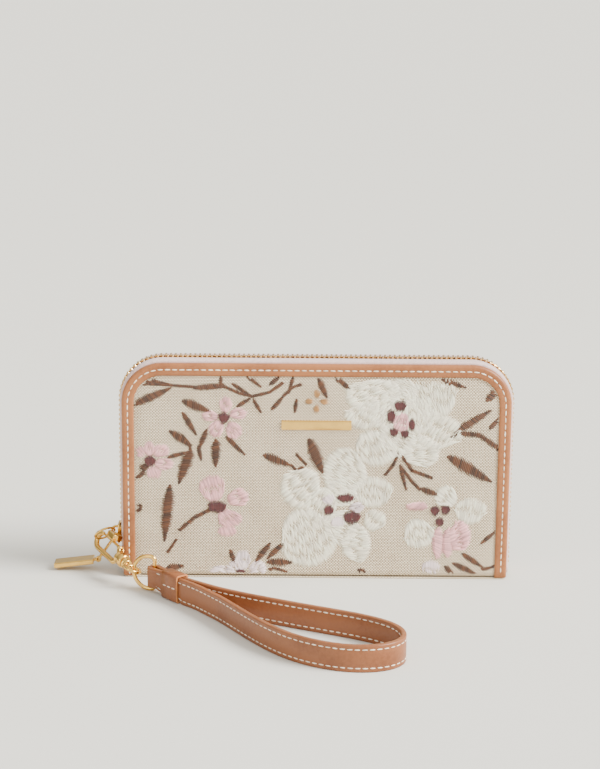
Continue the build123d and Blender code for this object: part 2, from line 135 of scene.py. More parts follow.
class Graph:
    """A material's node tree, with short calls for the nodes used here."""

    def __init__(self, name: str) -> None:
        """Start a material with a Principled shader."""
        self.material = bpy.data.materials.new(name)
        self.material.use_nodes = True
        self.tree = self.material.node_tree
        self.shader = self.tree.nodes["Principled BSDF"]

    def add(self, kind: str, **values: object) -> bpy.types.Node:
        """Add a node and set its properties."""
        node = self.tree.nodes.new(kind)
        for key, value in values.items():
            setattr(node, key, value)
        return node

    def join(self, source: bpy.types.NodeSocket, target: bpy.types.NodeSocket) -> None:
        """Link two sockets."""
        self.tree.links.new(source, target)

    def math(self, work: str, *inputs: object) -> bpy.types.NodeSocket:
        """A Math node over numbers or sockets."""
        node = self.add("ShaderNodeMath", operation=work)
        for place, value in enumerate(inputs):
            if isinstance(value, (int, float)):
                node.inputs[place].default_value = value
            else:
                self.join(value, node.inputs[place])
        return node.outputs[0]

    def place(self) -> bpy.types.NodeSocket:
        """Object coordinates."""
        return self.add("ShaderNodeTexCoord").outputs["Object"]

    def cut(self) -> bpy.types.NodeSocket:
        """The piece's own cloth coordinates, in metres."""
        return self.add("ShaderNodeUVMap", uv_map="cut").outputs[0]

    def noise(self, where: bpy.types.NodeSocket, scale: float, detail: float = 3.0) -> bpy.types.NodeSocket:
        """A noise factor."""
        node = self.add("ShaderNodeTexNoise")
        node.inputs["Scale"].default_value = scale
        node.inputs["Detail"].default_value = detail
        self.join(where, node.inputs["Vector"])
        return node.outputs["Fac"]

    def ramp(self, factor: bpy.types.NodeSocket, *stops: tuple[float, tuple]) -> bpy.types.NodeSocket:
        """A colour ramp over a factor."""
        node = self.add("ShaderNodeValToRGB")
        band = node.color_ramp
        while len(band.elements) < len(stops):
            band.elements.new(0.5)
        for element, (spot, colour) in zip(band.elements, stops):
            element.position = spot
            element.color = colour
        self.join(factor, node.inputs[0])
        return node.outputs[0]

    def bump(self, height: bpy.types.NodeSocket, depth: float, strength: float = 1.0) -> None:
        """Bump on the shader's normal; depth in metres."""
        node = self.add("ShaderNodeBump")
        node.inputs["Strength"].default_value = strength
        node.inputs["Distance"].default_value = depth
        self.join(height, node.inputs["Height"])
        self.join(node.outputs[0], self.shader.inputs["Normal"])

    def set(self, **values: float) -> None:
        """Set the shader's own sockets, with underscores for spaces."""
        for key, value in values.items():
            self.shader.inputs[key.replace("_", " ")].default_value = value


# ------------------------------------------------------------------ finishes
@dataclass(frozen=True)
class Weave:
    """Plain canvas: light slubs in staggered rows over darker gaps."""

    name: str = "canvas_weave"
    pitch: float = 1.46 * MM
    light: tuple = (253, 240, 210)
    middle: tuple = (222, 199, 166)
    dark: tuple = (132, 106, 76)

    def material(self) -> bpy.types.Material:
        """Build the material."""
        g = Graph(self.name)
        split = g.add("ShaderNodeSeparateXYZ")
        g.join(g.cut(), split.inputs[0])
        u = g.math("MULTIPLY", split.outputs[0], 1 / self.pitch)
        v = g.math("MULTIPLY", split.outputs[1], 2 / self.pitch)
        row = g.math("FLOOR", v)
        u = g.math("ADD", u, g.math("MULTIPLY", row, 0.5))
        dot_u = g.math("SINE", g.math("MULTIPLY", g.math("FRACT", u), math.pi))
        dot_v = g.math("SINE", g.math("MULTIPLY", g.math("FRACT", v), math.pi))
        dot = g.math("MULTIPLY", g.math("POWER", dot_u, 0.8), g.math("POWER", dot_v, 0.8))
        slub = g.noise(g.cut(), 900, 2)
        patch = g.noise(g.cut(), 60, 4)
        level = g.math("ADD", dot, g.math("MULTIPLY", g.math("SUBTRACT", slub, 0.5), 0.5))
        level = g.math("ADD", level, g.math("MULTIPLY", g.math("SUBTRACT", patch, 0.5), 0.35))
        colour = g.ramp(level, (0.2, shade(*self.dark)), (0.46, shade(*self.middle)),
                        (0.78, shade(*self.light)))
        g.join(colour, g.shader.inputs["Base Color"])
        g.bump(level, 0.3 * MM, 0.9)
        g.set(Roughness=0.85, Specular_IOR_Level=0.25, Sheen_Weight=0.15)
        return g.material


@dataclass(frozen=True)
class Leather:
    """Tan leather with a fine grain and a patchy tone."""

    name: str = "tan_leather"
    body: tuple = (163, 102, 58)
    deep: tuple = (143, 85, 46)
    roughness: float = 0.46
    grain: float = 1500.0

    def material(self) -> bpy.types.Material:
        """Build the material."""
        g = Graph(self.name)
        where = g.place()
        cloud = g.noise(where, 45, 5)
        fine = g.noise(where, 700, 3)
        cell = g.add("ShaderNodeTexVoronoi", feature="SMOOTH_F1")
        cell.inputs["Scale"].default_value = self.grain
        g.join(where, cell.inputs["Vector"])
        tone = g.math("ADD", g.math("MULTIPLY", cloud, 0.7), g.math("MULTIPLY", fine, 0.3))
        colour = g.ramp(tone, (0.36, shade(*self.deep)), (0.52, shade(*self.body)),
                        (0.72, shade(*[min(255, c * 1.05) for c in self.body])))
        g.join(colour, g.shader.inputs["Base Color"])
        height = g.math("ADD", cell.outputs["Distance"], g.math("MULTIPLY", fine, 0.6))
        g.bump(height, 0.05 * MM, 0.55)
        rough = g.math("ADD", g.math("MULTIPLY", cloud, 0.16), self.roughness - 0.08)
        g.join(rough, g.shader.inputs["Roughness"])
        g.set(Specular_IOR_Level=0.45)
        return g.material


@dataclass(frozen=True)
class Gilt:
    """Pale gold plated metal, faintly brushed."""

    name: str = "gold_plate"
    colour: tuple = (240, 194, 104)
    roughness: float = 0.17

    def material(self) -> bpy.types.Material:
        """Build the material."""
        g = Graph(self.name)
        where = g.place()
        smear = g.noise(where, 260, 4)
        base = [c for c in self.colour]
        colour = g.ramp(smear, (0.3, shade(*[c * 0.93 for c in base])), (0.7, shade(*base)))
        g.join(colour, g.shader.inputs["Base Color"])
        rough = g.math("ADD", g.math("MULTIPLY", smear, 0.1), self.roughness - 0.05)
        g.join(rough, g.shader.inputs["Roughness"])
        g.bump(g.noise(where, 1800, 2), 0.01 * MM, 0.3)
        g.set(Metallic=1.0)
        return g.material


@dataclass(frozen=True)
class Yarn:
    """Embroidery or sewing thread; each stitch has its own tone."""

    name: str
    colour: tuple
    spread: float = 0.24
    sheen: float = 0.3
    roughness: float = 0.5

    def material(self) -> bpy.types.Material:
        """Build the material."""
        g = Graph(self.name)
        tone = g.add("ShaderNodeAttribute", attribute_name="tone").outputs["Fac"]
        low = [c * (1 - self.spread) for c in self.colour]
        high = [min(255, c * (1 + self.spread * 0.5)) for c in self.colour]
        colour = g.ramp(tone, (0.0, shade(*low)), (0.6, shade(*self.colour)), (1.0, shade(*high)))
        g.join(colour, g.shader.inputs["Base Color"])
        g.bump(g.noise(g.place(), 5200, 2), 0.03 * MM, 0.5)
        g.set(Roughness=self.roughness, Sheen_Weight=self.sheen, Specular_IOR_Level=0.4)
        return g.material


@dataclass(frozen=True)
class Ribbed:
    """Woven tape or twill: fine ribs across the cloth."""

    name: str
    colour: tuple
    pitch: float = 0.5 * MM
    depth: float = 0.06 * MM
    sheen: float = 0.25

    def material(self) -> bpy.types.Material:
        """Build the material."""
        g = Graph(self.name)
        split = g.add("ShaderNodeSeparateXYZ")
        g.join(g.cut(), split.inputs[0])
        run = g.math("MULTIPLY", split.outputs[0], 2 * math.pi / self.pitch)
        over = g.math("MULTIPLY", split.outputs[1], 2 * math.pi / (self.pitch * 1.6))
        rib = g.math("SINE", g.math("ADD", run, g.math("MULTIPLY", g.math("SINE", over), 1.2)))
        level = g.math("ADD", g.math("MULTIPLY", rib, 0.3), g.noise(g.cut(), 500, 3))
        low = shade(*[c * 0.84 for c in self.colour])
        g.join(g.ramp(level, (0.2, low), (0.8, shade(*self.colour))), g.shader.inputs["Base Color"])
        g.bump(rib, self.depth, 0.6)
        g.set(Roughness=0.75, Sheen_Weight=self.sheen, Specular_IOR_Level=0.3)
        return g.material


@dataclass(frozen=True)
class Pressed:
    """Grey board, for the stiffeners."""

    name: str = "grey_board"
    colour: tuple = (150, 146, 140)

    def material(self) -> bpy.types.Material:
        """Build the material."""
        g = Graph(self.name)
        fleck = g.noise(g.place(), 420, 6)
        low = shade(*[c * 0.8 for c in self.colour])
        g.join(g.ramp(fleck, (0.3, low), (0.7, shade(*self.colour))), g.shader.inputs["Base Color"])
        g.bump(fleck, 0.05 * MM, 0.4)
        g.set(Roughness=0.9)
        return g.material


class Wardrobe:
    """Every finish, made once."""

    def __init__(self) -> None:
        """Make the materials."""
        self.canvas = Weave().material()
        self.leather = Leather().material()
        self.strap = Leather("strap_leather", (140, 84, 48), (124, 71, 38), 0.4).material()
        self.cut_edge = Leather("cut_leather_edge", (206, 138, 84), (182, 112, 62), 0.6, 2200).material()
        self.suede = Leather("inside_leather", (205, 160, 126), (180, 132, 98), 0.6).material()
        self.gold = Gilt().material()
        self.brass = Gilt("brass_teeth", (240, 202, 138), 0.26).material()
        self.tape = Ribbed("zip_tape", (236, 206, 198)).material()
        self.lining = Ribbed("lining_twill", (226, 208, 196), 0.4 * MM, 0.03 * MM, 0.4).material()
        self.board = Pressed().material()
        self.cream = Yarn("cream_thread", (246, 228, 202), 0.12).material()
        self.threads = {kind: Yarn(f"{kind.name.lower()}_thread", kind.value,
                                   0.34 if kind is Thread.BROWN else 0.13 if kind is Thread.WHITE else 0.18
                                   ).material() for kind in Thread}


# ------------------------------------------------------------------ mesh helpers
def finish_mesh(name: str, bm: bmesh.types.BMesh, finish: bpy.types.Material, body: str | None,
                nodes: Sequence[str] = (), flat: bool = False) -> bpy.types.Object:
    """Turn a bmesh into a piece of the model.

    Args:
        name: The piece's name.
        bm: Its mesh, freed here.
        finish: Its material.
        body: The body it rides on, or None to leave it unparented.
        nodes: The frame nodes it stands for.
        flat: True to keep hard facets.

    Returns:
        The new object.
    """
    mesh = bpy.data.meshes.new(name)
    bm.to_mesh(mesh)
    bm.free()
    return dress(name, mesh, finish, body, nodes, flat)


def dress(name: str, mesh: bpy.types.Mesh, finish: bpy.types.Material, body: str | None,
          nodes: Sequence[str] = (), flat: bool = False) -> bpy.types.Object:
    """Make the object of a mesh, give it its finish and hang it on its body."""
    mesh.materials.append(finish)
    mesh.polygons.foreach_set("use_smooth", [not flat] * len(mesh.polygons))
    piece = bpy.data.objects.new(name, mesh)
    bpy.context.scene.collection.objects.link(piece)
    if body:
        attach(piece, body)
    if nodes:
        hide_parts(*nodes)
    LOG.info("%s: %d faces", name, len(mesh.polygons))
    return piece


def thicken(piece: bpy.types.Object, thickness: float, offset: float = -1.0) -> None:
    """Give a cloth piece its thickness with a live Solidify."""
    wall = piece.modifiers.new("thickness", "SOLIDIFY")
    wall.thickness = thickness
    wall.offset = offset


def soften(piece: bpy.types.Object, width: float, segments: int = 3, angle: float = 35.0) -> None:
    """Round a hard piece's edges with a live Bevel."""
    edge = piece.modifiers.new("round_edges", "BEVEL")
    edge.width = width
    edge.segments = segments
    edge.limit_method = "ANGLE"
    edge.angle_limit = math.radians(angle)
    edge.harden_normals = True


def block(bm: bmesh.types.BMesh, low: Vector, high: Vector, turn: Matrix | None = None) -> list:
    """Add a box between two corners; turn places it afterwards."""
    middle = (low + high) / 2
    matrix = Matrix.Translation(middle) @ Matrix.Diagonal((*(high - low), 1.0))
    made = bmesh.ops.create_cube(bm, size=1.0, matrix=(turn @ matrix) if turn else matrix)
    return made["verts"]


def sweep(bm: bmesh.types.BMesh, outline: Sequence[tuple[float, float]],
          stations: Sequence[Matrix], ring: bool = False, open_outline: bool = False) -> None:
    """Run an outline along stations by extruding it from one to the next.

    Args:
        bm: The mesh that grows.
        outline: Points in the station's X and Y.
        stations: A matrix for each stop; its X and Y axes carry the outline, its Z is the path.
        ring: True where the last stop joins the first.
        open_outline: True for a ribbon, whose outline isn't closed.
    """
    layer = bm.loops.layers.uv.get("cut") or bm.loops.layers.uv.new("cut")
    girth = [0.0]
    closed = list(outline) + ([] if open_outline else [outline[0]])
    for before, after in zip(closed, closed[1:]):
        girth.append(girth[-1] + math.dist(before, after))
    verts = [bm.verts.new(stations[0] @ Vector((*point, 0.0))) for point in outline]
    pairs = list(zip(verts, verts[1:])) + ([] if open_outline else [(verts[-1], verts[0])])
    edges = [bm.edges.new(pair) for pair in pairs]
    first_edges = list(edges)
    run = 0.0
    rows = [verts]
    runs = [0.0]
    for before, station in zip(stations, stations[1:]):
        made = bmesh.ops.extrude_edge_only(bm, edges=edges)["geom"]
        fresh = [item for item in made if isinstance(item, bmesh.types.BMVert)]
        lookup = {tuple(round(c, 9) for c in vert.co): vert for vert in fresh}
        ordered = [lookup[tuple(round(c, 9) for c in vert.co)] for vert in rows[-1]]
        edge_set = {item for item in made if isinstance(item, bmesh.types.BMEdge)}
        pairs = list(zip(ordered, ordered[1:])) + ([] if open_outline else [(ordered[-1], ordered[0])])
        edges = [next(e for e in a.link_edges if e in edge_set and e.other_vert(a) is b) for a, b in pairs]
        for vert, point in zip(ordered, outline):
            vert.co = station @ Vector((*point, 0.0))
        run += (station.translation - before.translation).length
        runs.append(run)
        rows.append(ordered)
    marks = {vert: (row, place) for row, line in enumerate(rows) for place, vert in enumerate(line)}
    if ring:
        bmesh.ops.bridge_loops(bm, edges=first_edges + edges)
    elif not open_outline:
        bmesh.ops.contextual_create(bm, geom=first_edges)
        bmesh.ops.contextual_create(bm, geom=edges)
    total = runs[-1] + (stations[0].translation - stations[-1].translation).length
    for face in bm.faces:
        known = [marks.get(loop.vert) for loop in face.loops]
        if None in known:
            continue
        wrap_row = ring and {0, len(rows) - 1} <= {spot[0] for spot in known}
        wrap_place = not open_outline and {0, len(outline) - 1} <= {spot[1] for spot in known}
        for loop, (row, place) in zip(face.loops, known):
            along = total if wrap_row and row == 0 else runs[row]
            across = girth[-1] if wrap_place and place == 0 else girth[place]
            loop[layer].uv = (along, across)
    bmesh.ops.recalc_face_normals(bm, faces=bm.faces)


def repeat(template: bmesh.types.BMesh, places: Sequence[Matrix], tones: Sequence[float]) -> bpy.types.Mesh:
    """Copy a small template to many places in one mesh, with a tone for each copy.

    Args:
        template: The repeated shape, freed here.
        places: A matrix for each copy.
        tones: A number from 0 to 1 for each copy.

    Returns:
        The joined mesh.
    """
    small = bpy.data.meshes.new("template")
    template.to_mesh(small)
    template.free()
    points = np.array([(*vert.co, 1.0) for vert in small.vertices])
    faces = [tuple(face.vertices) for face in small.polygons]
    stack = np.array([np.array(place) for place in places])
    moved = np.einsum("nij,vj->nvi", stack, points)[:, :, :3].reshape(-1, 3)
    count = len(points)
    lists = [tuple(index + step * count for index in face) for step in range(len(places)) for face in faces]
    mesh = bpy.data.meshes.new("copies")
    mesh.from_pydata(moved.tolist(), [], lists)
    tone = mesh.attributes.new("tone", "FLOAT", "POINT")
    tone.data.foreach_set("value", np.repeat(np.array(tones, float), count))
    bpy.data.meshes.remove(small)
    return mesh


def stitch_template(segments: int = 6, rings: int = 5) -> bmesh.types.BMesh:
    """A sewing stitch of length, width and height 1: a low bead."""
    bm = bmesh.new()
    bmesh.ops.create_uvsphere(bm, u_segments=rings, v_segments=segments, radius=0.5,
                              matrix=Matrix.Rotation(math.pi / 2, 4, "Y"))
    return bm


def strand_template() -> bmesh.types.BMesh:
    """An embroidery strand of length, width and height 1, that dips at both ends."""
    bm = bmesh.new()
    bmesh.ops.create_cube(bm, size=1.0)
    lengthwise = [edge for edge in bm.edges if abs(edge.verts[0].co.x - edge.verts[1].co.x) > 0.5]
    bmesh.ops.subdivide_edges(bm, edges=lengthwise, cuts=2)
    for vert in bm.verts:
        end = abs(vert.co.x) > 0.4
        vert.co.y *= 0.22 if end else 1.0
        if vert.co.z > 0:
            vert.co.y *= 0.6
            vert.co.z = -0.1 if end else 1.0
        else:
            vert.co.z = -0.6
    return bm


def frame_at(origin: Vector, along: Vector, out: Vector) -> Matrix:
    """A matrix with X along, Z out, at origin."""
    along = along.normalized()
    side = out.cross(along).normalized()
    out = along.cross(side)
    return Matrix(((along.x, side.x, out.x, origin.x), (along.y, side.y, out.y, origin.y),
                   (along.z, side.z, out.z, origin.z), (0, 0, 0, 1)))


def stitches(name: str, line: Sequence[tuple[Vector, Vector]], pitch: float, length: float, width: float,
             height: float, finish: bpy.types.Material, body: str, start: float = 0.0
             ) -> bpy.types.Object:
    """A row of sewn stitches along a line.

    Args:
        name: The piece's name.
        line: Points, each with the direction out of the surface.
        pitch: From one stitch to the next.
        length: Of one stitch.
        width: Of the thread.
        height: Of a stitch over the surface, twice over.
        finish: The thread.
        body: The body it rides on.
        start: Where the first stitch begins.

    Returns:
        The row as one piece.
    """
    spread = random.Random(SEED + len(name))
    places, tones = [], []
    lengths = [(b[0] - a[0]).length for a, b in zip(line, line[1:])]
    total = sum(lengths)
    spot = start + length / 2
    while spot < total - length / 2:
        ends = []
        for offset in (-length / 2, length / 2):
            left, index = spot + offset, 0
            while index < len(lengths) - 1 and left > lengths[index]:
                left -= lengths[index]
                index += 1
            share = left / lengths[index] if lengths[index] else 0
            ends.append((line[index][0].lerp(line[index + 1][0], share), line[index][1]))
        out = (ends[0][1] + ends[1][1]).normalized()
        middle = (ends[0][0] + ends[1][0]) / 2
        matrix = frame_at(middle, ends[1][0] - ends[0][0], out)
        lean = Matrix.Rotation(spread.uniform(-0.05, 0.05), 4, "Z")
        size = Matrix.Diagonal((length * spread.uniform(0.93, 1.05), width, height, 1))
        places.append(matrix @ lean @ size)
        tones.append(spread.random())
        spot += pitch
    return dress(name, repeat(stitch_template(), places, tones), finish, body)


# ------------------------------------------------------------------ the covers
@dataclass
class CoverForm:
    """Sizes that both covers share, read from the frame."""

    corner: float = 20 * MM
    trim_width: float = 6 * MM
    puff: float = 0.75 * MM
    crown: float = 0.25 * MM
    fold: float = 2.0 * MM
    half: float = field(init=False)
    top: float = field(init=False)
    bottom: float = field(init=False)
    face: float = field(init=False)
    canvas: float = field(init=False)
    inner: float = field(init=False)

    def __post_init__(self) -> None:
        """Read the covers' boxes."""
        low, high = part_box("front_leather_trim")
        self.half, self.top, self.bottom, self.face = high.x, high.z, low.z, -low.y
        self.canvas = -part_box("front_canvas")[0].y - self.puff
        self.inner = -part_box("front_lining")[1].y

    def rim(self, bottom: float, step: float = 4 * MM) -> list[tuple[Vector, Vector]]:
        """Points up the left side, over the top and down the right, each with its outward direction."""
        points = []
        x_bend, z_bend = self.half - self.corner, self.top - self.corner
        count = max(2, round((z_bend - bottom) / step))
        for index in range(count):
            height = bottom + (z_bend - bottom) * index / count
            points.append((Vector((-self.half, 0, height)), Vector((-1, 0, 0))))
        for index in range(17):
            turn = math.pi / 2 * index / 16
            out = Vector((-math.cos(turn), 0, math.sin(turn)))
            points.append((Vector((-x_bend, 0, z_bend)) + out * self.corner, out))
        count = round(2 * x_bend / step)
        for index in range(1, count):
            points.append((Vector((-x_bend + 2 * x_bend * index / count, 0, self.top)), Vector((0, 0, 1))))
        for index in range(17):
            turn = math.pi / 2 * index / 16
            out = Vector((math.sin(turn), 0, math.cos(turn)))
            points.append((Vector((x_bend, 0, z_bend)) + out * self.corner, out))
        count = max(2, round((z_bend - bottom) / step))
        for index in range(1, count + 1):
            height = z_bend - (z_bend - bottom) * index / count
            points.append((Vector((self.half, 0, height)), Vector((1, 0, 0))))
        return points

    def stations(self, bottom: float, side: Side, step: float = 4 * MM) -> list[Matrix]:
        """Stops along the rim: X is outward, Y is the cover's outer direction."""
        stops = []
        for point, out in self.rim(bottom, step):
            face = Vector((0, side.value, 0))
            path = out.cross(face)
            stops.append(Matrix(((out.x, face.x, path.x, point.x), (out.y, face.y, path.y, point.y),
                                 (out.z, face.z, path.z, point.z), (0, 0, 0, 1))))
        return stops

    def inside(self, x: float, z: float) -> float:
        """How far a point lies inside the cover's outline."""
        dx, dz = self.half - abs(x), self.top - z
        if dx < self.corner and dz < self.corner:
            return self.corner - math.hypot(self.corner - dx, self.corner - dz)
        return min(dx, dz)

    def surface(self, x: float, z: float) -> float:
        """How far the canvas stands out from the middle of the wallet."""
        depth = self.inside(x, z) - self.trim_width + 0.8 * MM
        swell = smooth(depth / (4 * MM)) * self.puff
        middle = smooth(depth / (30 * MM)) * smooth((z - self.bottom) / (20 * MM)) * self.crown
        low = max(0.0, self.bottom + self.fold - z)
        turn = min(1.0, low / self.fold)
        return self.canvas + swell + middle - self.fold * (1 - math.sqrt(max(0.0, 1 - turn * turn)))


@dataclass
class Cover:
    """One cover: canvas, leather binding, lining and the stitching round the rim."""

    side: Side
    form: CoverForm
    wear: Wardrobe
    pitch: float = 3.5 * MM

    def sheet_grid(self, offset: float, low: float, columns: int, rows: int) -> bmesh.types.BMesh:
        """A grid with round top corners, in X and Z, with cloth coordinates."""
        bm = bmesh.new()
        bmesh.ops.create_grid(bm, x_segments=columns, y_segments=rows, size=1.0)
        half, top = self.form.half - offset, self.form.top - offset
        radius = self.form.corner - offset
        layer = bm.loops.layers.uv.new("cut")
        for vert in bm.verts:
            x = vert.co.x * half
            z = low + (vert.co.y + 1) / 2 * (top - low)
            a, b = (abs(x) - half + radius) / radius, (z - top + radius) / radius
            if a > 0 and b > 0:
                x = math.copysign(half - radius + radius * a * math.sqrt(1 - b * b / 2), x)
                z = top - radius + radius * b * math.sqrt(1 - a * a / 2)
            vert.co = Vector((x, 0, z))
        for face in bm.faces:
            for loop in face.loops:
                loop[layer].uv = (loop.vert.co.x, loop.vert.co.z)
        return bm

    def point_out(self, bm: bmesh.types.BMesh, out: float) -> None:
        """Turn every face towards out along Y."""
        wrong = [face for face in bm.faces if face.normal.y * out < 0]
        bmesh.ops.reverse_faces(bm, faces=wrong)

    def canvas(self) -> None:
        """The woven canvas, crowned inside the binding and folded under at the bottom."""
        form, side = self.form, self.side
        low = form.bottom + form.fold * (1 - math.pi / 2)
        bm = self.sheet_grid(1.15 * MM, low, 110, 72)
        for vert in bm.verts:
            x, z = vert.co.x, vert.co.z
            spread = form.surface(x, max(z, form.bottom + form.fold))
            if z < form.bottom + form.fold:
                turn = (form.bottom + form.fold - z) / form.fold
                spread -= form.fold * (1 - math.cos(turn))
                z = form.bottom + form.fold - form.fold * math.sin(turn)
            vert.co = Vector((x, side.value * spread, z))
        bm.normal_update()
        bmesh.ops.recalc_face_normals(bm, faces=bm.faces)
        probe = max(bm.faces, key=lambda face: face.calc_area())
        if probe.normal.y * side.value < 0:
            bmesh.ops.reverse_faces(bm, faces=bm.faces)
        piece = finish_mesh(f"{side.word}_canvas_cover", bm, self.wear.canvas, side.body,
                            [f"{side.word}_canvas"])
        thicken(piece, 0.9 * MM)

    def binding(self) -> None:
        """The folded leather binding round the rim, with its groove for the stitches."""
        form, side = self.form, self.side
        face, under, inner = form.face, form.canvas, form.inner + 0.05 * MM
        width = form.trim_width
        outline = [
            (-width, under + 0.05 * MM), (-width, face - 0.55 * MM), (-width + 0.15 * MM, face - 0.22 * MM),
            (-width + 0.5 * MM, face - 0.05 * MM), (-width + 1.1 * MM, face), (-3.75 * MM, face),
            (-3.4 * MM, face - 0.08 * MM), (-3.0 * MM, face - 0.2 * MM), (-2.6 * MM, face - 0.08 * MM),
            (-2.25 * MM, face), (-1.5 * MM, face - 0.02 * MM), (-0.85 * MM, face - 0.16 * MM),
            (-0.35 * MM, face - 0.5 * MM), (-0.08 * MM, face - 1.0 * MM), (0, face - 1.6 * MM),
            (0, inner + 0.5 * MM), (-0.2 * MM, inner + 0.12 * MM), (-0.6 * MM, inner),
            (-1.1 * MM, inner), (-1.1 * MM, under - 0.3 * MM), (-1.6 * MM, under + 0.04 * MM),
        ]
        bm = bmesh.new()
        sweep(bm, outline, form.stations(form.bottom, side))
        finish_mesh(f"{side.word}_binding", bm, self.wear.leather, side.body,
                    [f"{side.word}_leather_trim"])
        line = [(point - out * 3.0 * MM + Vector((0, side.value * (face - 0.1 * MM), 0)),
                 Vector((0, side.value, 0)))
                for point, out in form.rim(form.bottom + 0.6 * MM, 2 * MM)]
        stitches(f"{side.word}_binding_stitches", line, self.pitch, 2.7 * MM, 0.72 * MM, 0.62 * MM,
                 self.wear.cream, side.body)

    def lining(self) -> None:
        """The lining on the inside of the cover."""
        form, side = self.form, self.side
        low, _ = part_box(f"{side.word}_lining")
        bm = self.sheet_grid(1.15 * MM, low.z, 60, 36)
        for vert in bm.verts:
            wave = 0.05 * MM * math.sin(vert.co.x * 210) * math.sin(vert.co.z * 160)
            vert.co.y = side.value * (form.inner + 0.05 * MM + wave)
        bm.normal_update()
        self.point_out(bm, -side.value)
        piece = finish_mesh(f"{side.word}_lining_twill", bm, self.wear.lining, side.body,
                            [f"{side.word}_lining"])
        thicken(piece, 0.4 * MM)

    def build(self) -> None:
        """Build the cover's layers."""
        self.canvas()
        self.binding()
        self.lining()


@dataclass
class Spine:
    """The canvas strip the wallet stands on."""

    form: CoverForm
    wear: Wardrobe

    def build(self) -> None:
        """Build the strip with rolled long edges."""
        low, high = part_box("spine_canvas")
        bm = bmesh.new()
        half, thick = high.y, high.z
        outline = [(-half, thick * 0.5), (-half + 0.12 * MM, thick * 0.15), (-half + 0.4 * MM, 0),
                   (half - 0.4 * MM, 0),
                   (half - 0.12 * MM, thick * 0.15), (half, thick * 0.5), (half - 0.12 * MM, thick * 0.85),
                   (half - 0.4 * MM, thick), (-half + 0.4 * MM, thick), (-half + 0.12 * MM, thick * 0.85)]
        count = 48
        stops = []
        for index in range(count + 1):
            x = low.x + (high.x - low.x) * index / count
            stops.append(Matrix(((0, 0, 1, x), (1, 0, 0, 0), (0, 1, 0, 0), (0, 0, 0, 1))))
        sweep(bm, outline, stops)
        piece = finish_mesh("spine_canvas_strip", bm, self.wear.canvas, "front_half",
                            ["spine_canvas"])


# ------------------------------------------------------------------ embroidery
@dataclass(frozen=True)
class Leaf:
    """A satin-stitched leaf from root to tip, in millimetres on the cover."""

    root: tuple[float, float]
    tip: tuple[float, float]
    width: float
    kind: Thread = Thread.BROWN


@dataclass(frozen=True)
class Stem:
    """A stitched line through points."""

    points: tuple
    width: float = 1.3
    kind: Thread = Thread.BROWN


@dataclass(frozen=True)
class Petal:
    """A filled patch: middle, width and height, stitched towards a heart."""

    middle: tuple[float, float]
    size: tuple[float, float]
    heart: tuple[float, float]
    kind: Thread = Thread.WHITE
    lift: float = 0.0
    form: Form = Form.RADIAL


